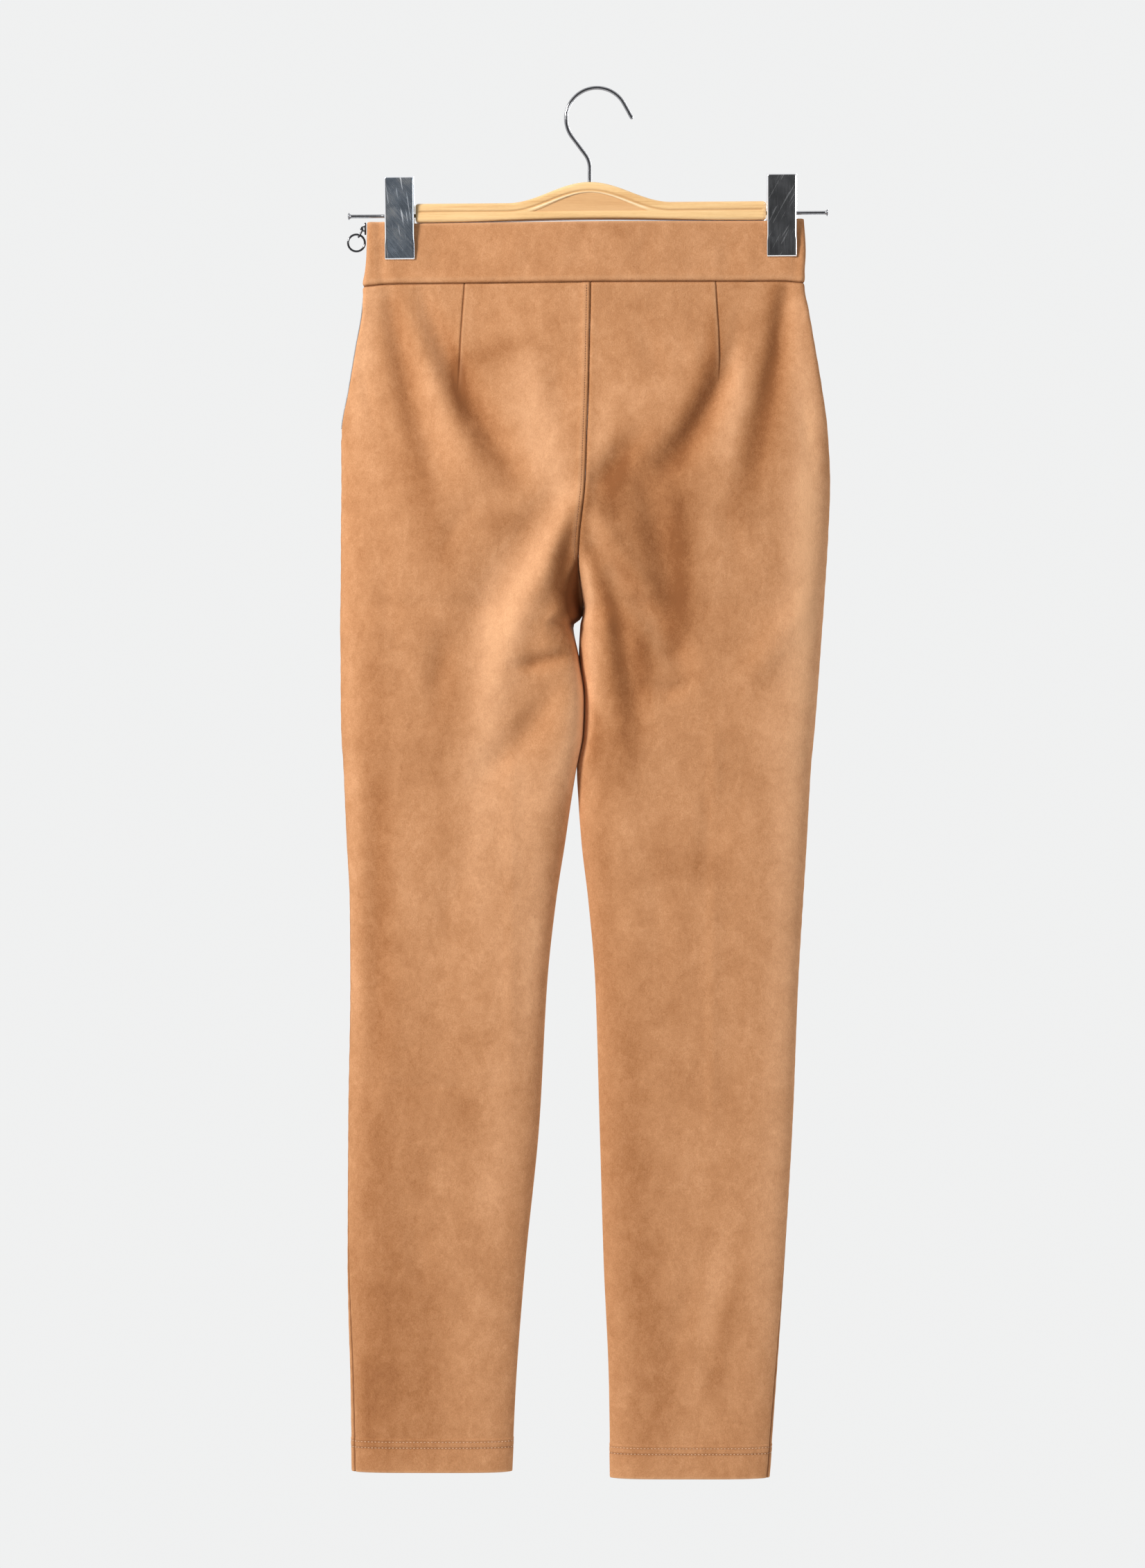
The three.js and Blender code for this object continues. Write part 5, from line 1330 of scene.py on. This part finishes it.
def chrome_material(name, tone, rough=0.14, turn=0.0, size=0.5, smudge=0.0, marks=0.0, edge=1.0):
    """Polished plate with fine scratches in one direction, faint smudges and a few bright marks."""
    s = Shader(name, Metallic=1.0, Specular_Tint=(edge, edge, edge, 1))
    scratches = s.noise(size, stretch=(1, 26, 26), turn=(0, turn, 0), detail=2)
    smudges = s.noise(14, detail=3, distortion=0.4)
    waves = s.noise(26, stretch=(1, 1, 1.6), turn=(0, turn, 0), detail=1)
    rough = s.weighted(rough, (0.16, scratches), (0.22, smudges))
    worn = s.weighted(0.5, (0.7, scratches), (smudge, smudges), (smudge, waves))
    pale = tuple(min(1, 1.3 * c + 0.05) for c in tone)
    dull = tuple(0.68 * c for c in tone)
    colour = s.ramp(worn, (0.25, dull), (0.5, tone), (0.8, pale))
    if marks:
        aside = (0, turn - 0.55, 0)
        stray = s.noise(0.9, stretch=(1, 22, 22), turn=aside, detail=0, distortion=0.05)
        limits = {"From_Min": 0.7, "From_Max": 0.75, "To_Min": 0.0, "To_Max": marks}
        thin = s.node("MapRange", Value=stray, **limits).outputs[0]
        colour = s.mixed(thin, colour, (0.95, 0.96, 0.98))
        # The rim mark paints a highlight on the clips' rims, and shade where it is below zero.
        colour = s.tinted(colour, "rim", 1.0, (0.96, 0.96, 0.97))
        colour = s.tinted(colour, "rim", -1.0, (0.10, 0.105, 0.115))
        rough = s.math("ADD", rough, s.math("MULTIPLY", thin, 0.35))
        polish = s.math("SUBTRACT", 1.0, s.math("MULTIPLY", s.mark("rim"), 0.6, clamp=True))
        rough = s.math("MULTIPLY", rough, polish)
    s.bump((waves, 0.25), (scratches, 0.02))
    return s.finish(Base_Color=colour, Roughness=s.math("MAXIMUM", rough, 0.05))


def wood_material():
    """Pale varnished beech, with its grain along the bar."""
    s = Shader("wood", Coat_Weight=0.35, Coat_Roughness=0.22)
    bands = s.noise(9, stretch=(16, 1, 1), detail=3, distortion=0.35)
    lines = s.noise(1.1, stretch=(30, 1, 1), detail=2, distortion=0.2)
    flecks = s.noise(0.5, stretch=(9, 1, 1), detail=1)
    tone = s.weighted(0.5, (0.8, bands), (0.5, lines), (0.25, flecks))
    colour = s.ramp(tone, *WOOD)
    # Darker in the sunken field; painted shade in the routed groove and a painted highlight on the
    # raised bead.
    colour = s.tinted(colour, "sunken", 0.5, (0.64, 0.325, 0.15))
    colour = s.tinted(colour, "routed", 0.62, (0.52, 0.26, 0.09))
    colour = s.tinted(colour, "raised", 0.85, (1.0, 0.83, 0.55))
    s.bump((lines, 0.05), (flecks, 0.03))
    return s.finish(Base_Color=colour, Roughness=s.weighted(0.42, (0.2, bands)))


def floor_material():
    s = Shader("floor", Roughness=0.9)
    return s.finish(Base_Color=s.ramp(s.noise(60, detail=2), *FLOOR_TONES))


suede = suede_material()
tape = woven_material(
    "zip_tape", (0.22, 0.10, 0.045), (0.38, 0.20, 0.10), Roughness=0.85, Sheen_Weight=0.15
)
wood = wood_material()
thread = thread_material("thread", (0.26, 0.115, 0.05), (0.42, 0.21, 0.10))
pale_thread = thread_material("thread_pale", (0.68, 0.41, 0.235), (0.88, 0.61, 0.40))
chrome_wire = chrome_material("chrome_wire", (0.34, 0.345, 0.36), size=0.3)
chrome_dark = chrome_material("chrome_dark", (0.12, 0.122, 0.13), 0.12, size=0.3, edge=0.1)
# The clips' jaws are one chrome: their different tones, the left one's pale blue, are painted
# reflections of the room.
clip_chrome_painted_reflections = {
    "left": chrome_material("chrome_left_painted_reflection", (0.72, 0.84, 0.99), 0.25, 0.7, smudge=0.6, marks=0.5),
    "right": chrome_material("chrome_right_painted_reflection", (0.46, 0.47, 0.49), 0.2, 0.05, smudge=0.8, marks=0.35),
    "back": chrome_material("chrome_back_painted_reflection", (0.52, 0.54, 0.57), 0.2, -0.4, smudge=0.5),
}

# ---- The object ----
panels = {(side, face): leg_panel(side, face) for side in SIDES for face in FACES}
for face in FACES:
    waistband(face)
tape_cloth = zip_tape()

sewing("stitches_middle", thread_stitch(), middle_stitches(panels["left", "back"]), thread)
for (side, face), cloth in panels.items():
    sewing(f"stitches_hem_{face}_{side}", thread_stitch(), hem_stitches(cloth, side), pale_thread)
sewing("zip_teeth", chamfered_block(**TOOTH), zip_teeth(tape_cloth), chrome_dark)

zip_slider()
zip_link()
zip_ring()
hook()
wooden_bar()
for side in SIDES:
    rod(side)
    clip_jaw(side, "outer")
    clip_jaw(side, "inner")
    clip_spring(side)

# ---- The studio ----
VIEW = {"centre": (-19, -541), "distance": 2885, "lens": 85}
FLOOR = {"drop": 1600, "radius": 1700, "sides": 96}
BACKDROP = (0.871, 0.876, 0.876)
LIT = (0, 0, -0.5)  # where the lamps look, in metres
# Brightness of the surroundings, from straight behind the object (0) to behind the camera (1).
ROOM = [(0.0, 0.60), (0.5, 0.48), (0.72, 0.25), (0.9, 0.12), (1.0, 0.10)]
CARDS = [(0.0, 0.80), (0.5, 1.0), (0.74, 0.95), (0.86, 0.22), (0.93, 0.11), (1.0, 0.10)]


def make_camera():
    data = bpy.data.cameras.new("camera")
    data.lens, data.sensor_width, data.sensor_fit = VIEW["lens"], 36, "AUTO"
    data.clip_end = 50
    camera = bpy.data.objects.new("camera", data)
    x, z = VIEW["centre"]
    camera.location = Vector((x, -VIEW["distance"], z)) * MM
    camera.rotation_euler = (math.pi / 2, 0, 0)
    bpy.context.scene.collection.objects.link(camera)
    bpy.context.scene.camera = camera


def area_light(name, place, size, watts, colour=(1, 1, 1)):
    """A round lamp that looks at the middle of the object, from a place in metres."""
    data = bpy.data.lights.new(name, "AREA")
    data.shape, data.size, data.energy, data.color = "DISK", size, watts, colour
    light = bpy.data.objects.new(name, data)
    light.location = Vector(place)
    light.rotation_euler = (Vector(LIT) - Vector(place)).to_track_quat("-Z", "Y").to_euler()
    bpy.context.scene.collection.objects.link(light)


def make_floor():
    sides, radius = FLOOR["sides"], FLOOR["radius"]
    turn = np.linspace(0, 2 * np.pi, sides, endpoint=False)
    z = np.full(sides, -FLOOR["drop"])
    points = np.column_stack([radius * np.cos(turn), radius * np.sin(turn), z])
    make_object("floor", points, [range(sides)], floor_material(), smooth=False)


def make_world():
    """A pale backdrop for the camera, a dim room for the cloth and bright cards for the metal."""
    world = bpy.data.worlds.new("studio")
    bpy.context.scene.world = world
    world.use_nodes = True
    world.node_tree.nodes.clear()
    tree = Nodes(world.node_tree)
    split = tree.node("SeparateXYZ", Vector=tree.node("TexCoord").outputs["Generated"])
    across = tree.node("MapRange", Value=split.outputs["Y"], From_Min=1, From_Max=-1).outputs[0]
    path = tree.node("LightPath").outputs

    def background(stops):
        tones = ((place, (value, value, value * 1.01)) for place, value in stops)
        return tree.node("Background", Color=tree.ramp(across, *tones)).outputs[0]

    def chosen(ray, no, yes):
        made = tree.node("MixShader", Fac=path[ray])
        tree.feed(made.inputs[1], no)
        tree.feed(made.inputs[2], yes)
        return made.outputs[0]

    seen = tree.node("Background", Color=(*BACKDROP, 1)).outputs[0]
    room = chosen("Is Glossy Ray", background(ROOM), background(CARDS))
    tree.node("OutputWorld", Surface=chosen("Is Camera Ray", room, seen))


make_camera()
make_floor()
make_world()
area_light("key", (-2.0, -1.75, 1.0), 0.75, 104, (1, 0.985, 0.965))
area_light("fill", (2.6, -1.8, -0.4), 1.6, 24, (1, 0.99, 0.98))
area_light("behind", (0.9, 2.3, 0.3), 1.4, 40)
bpy.context.scene.view_settings.view_transform = "Standard"
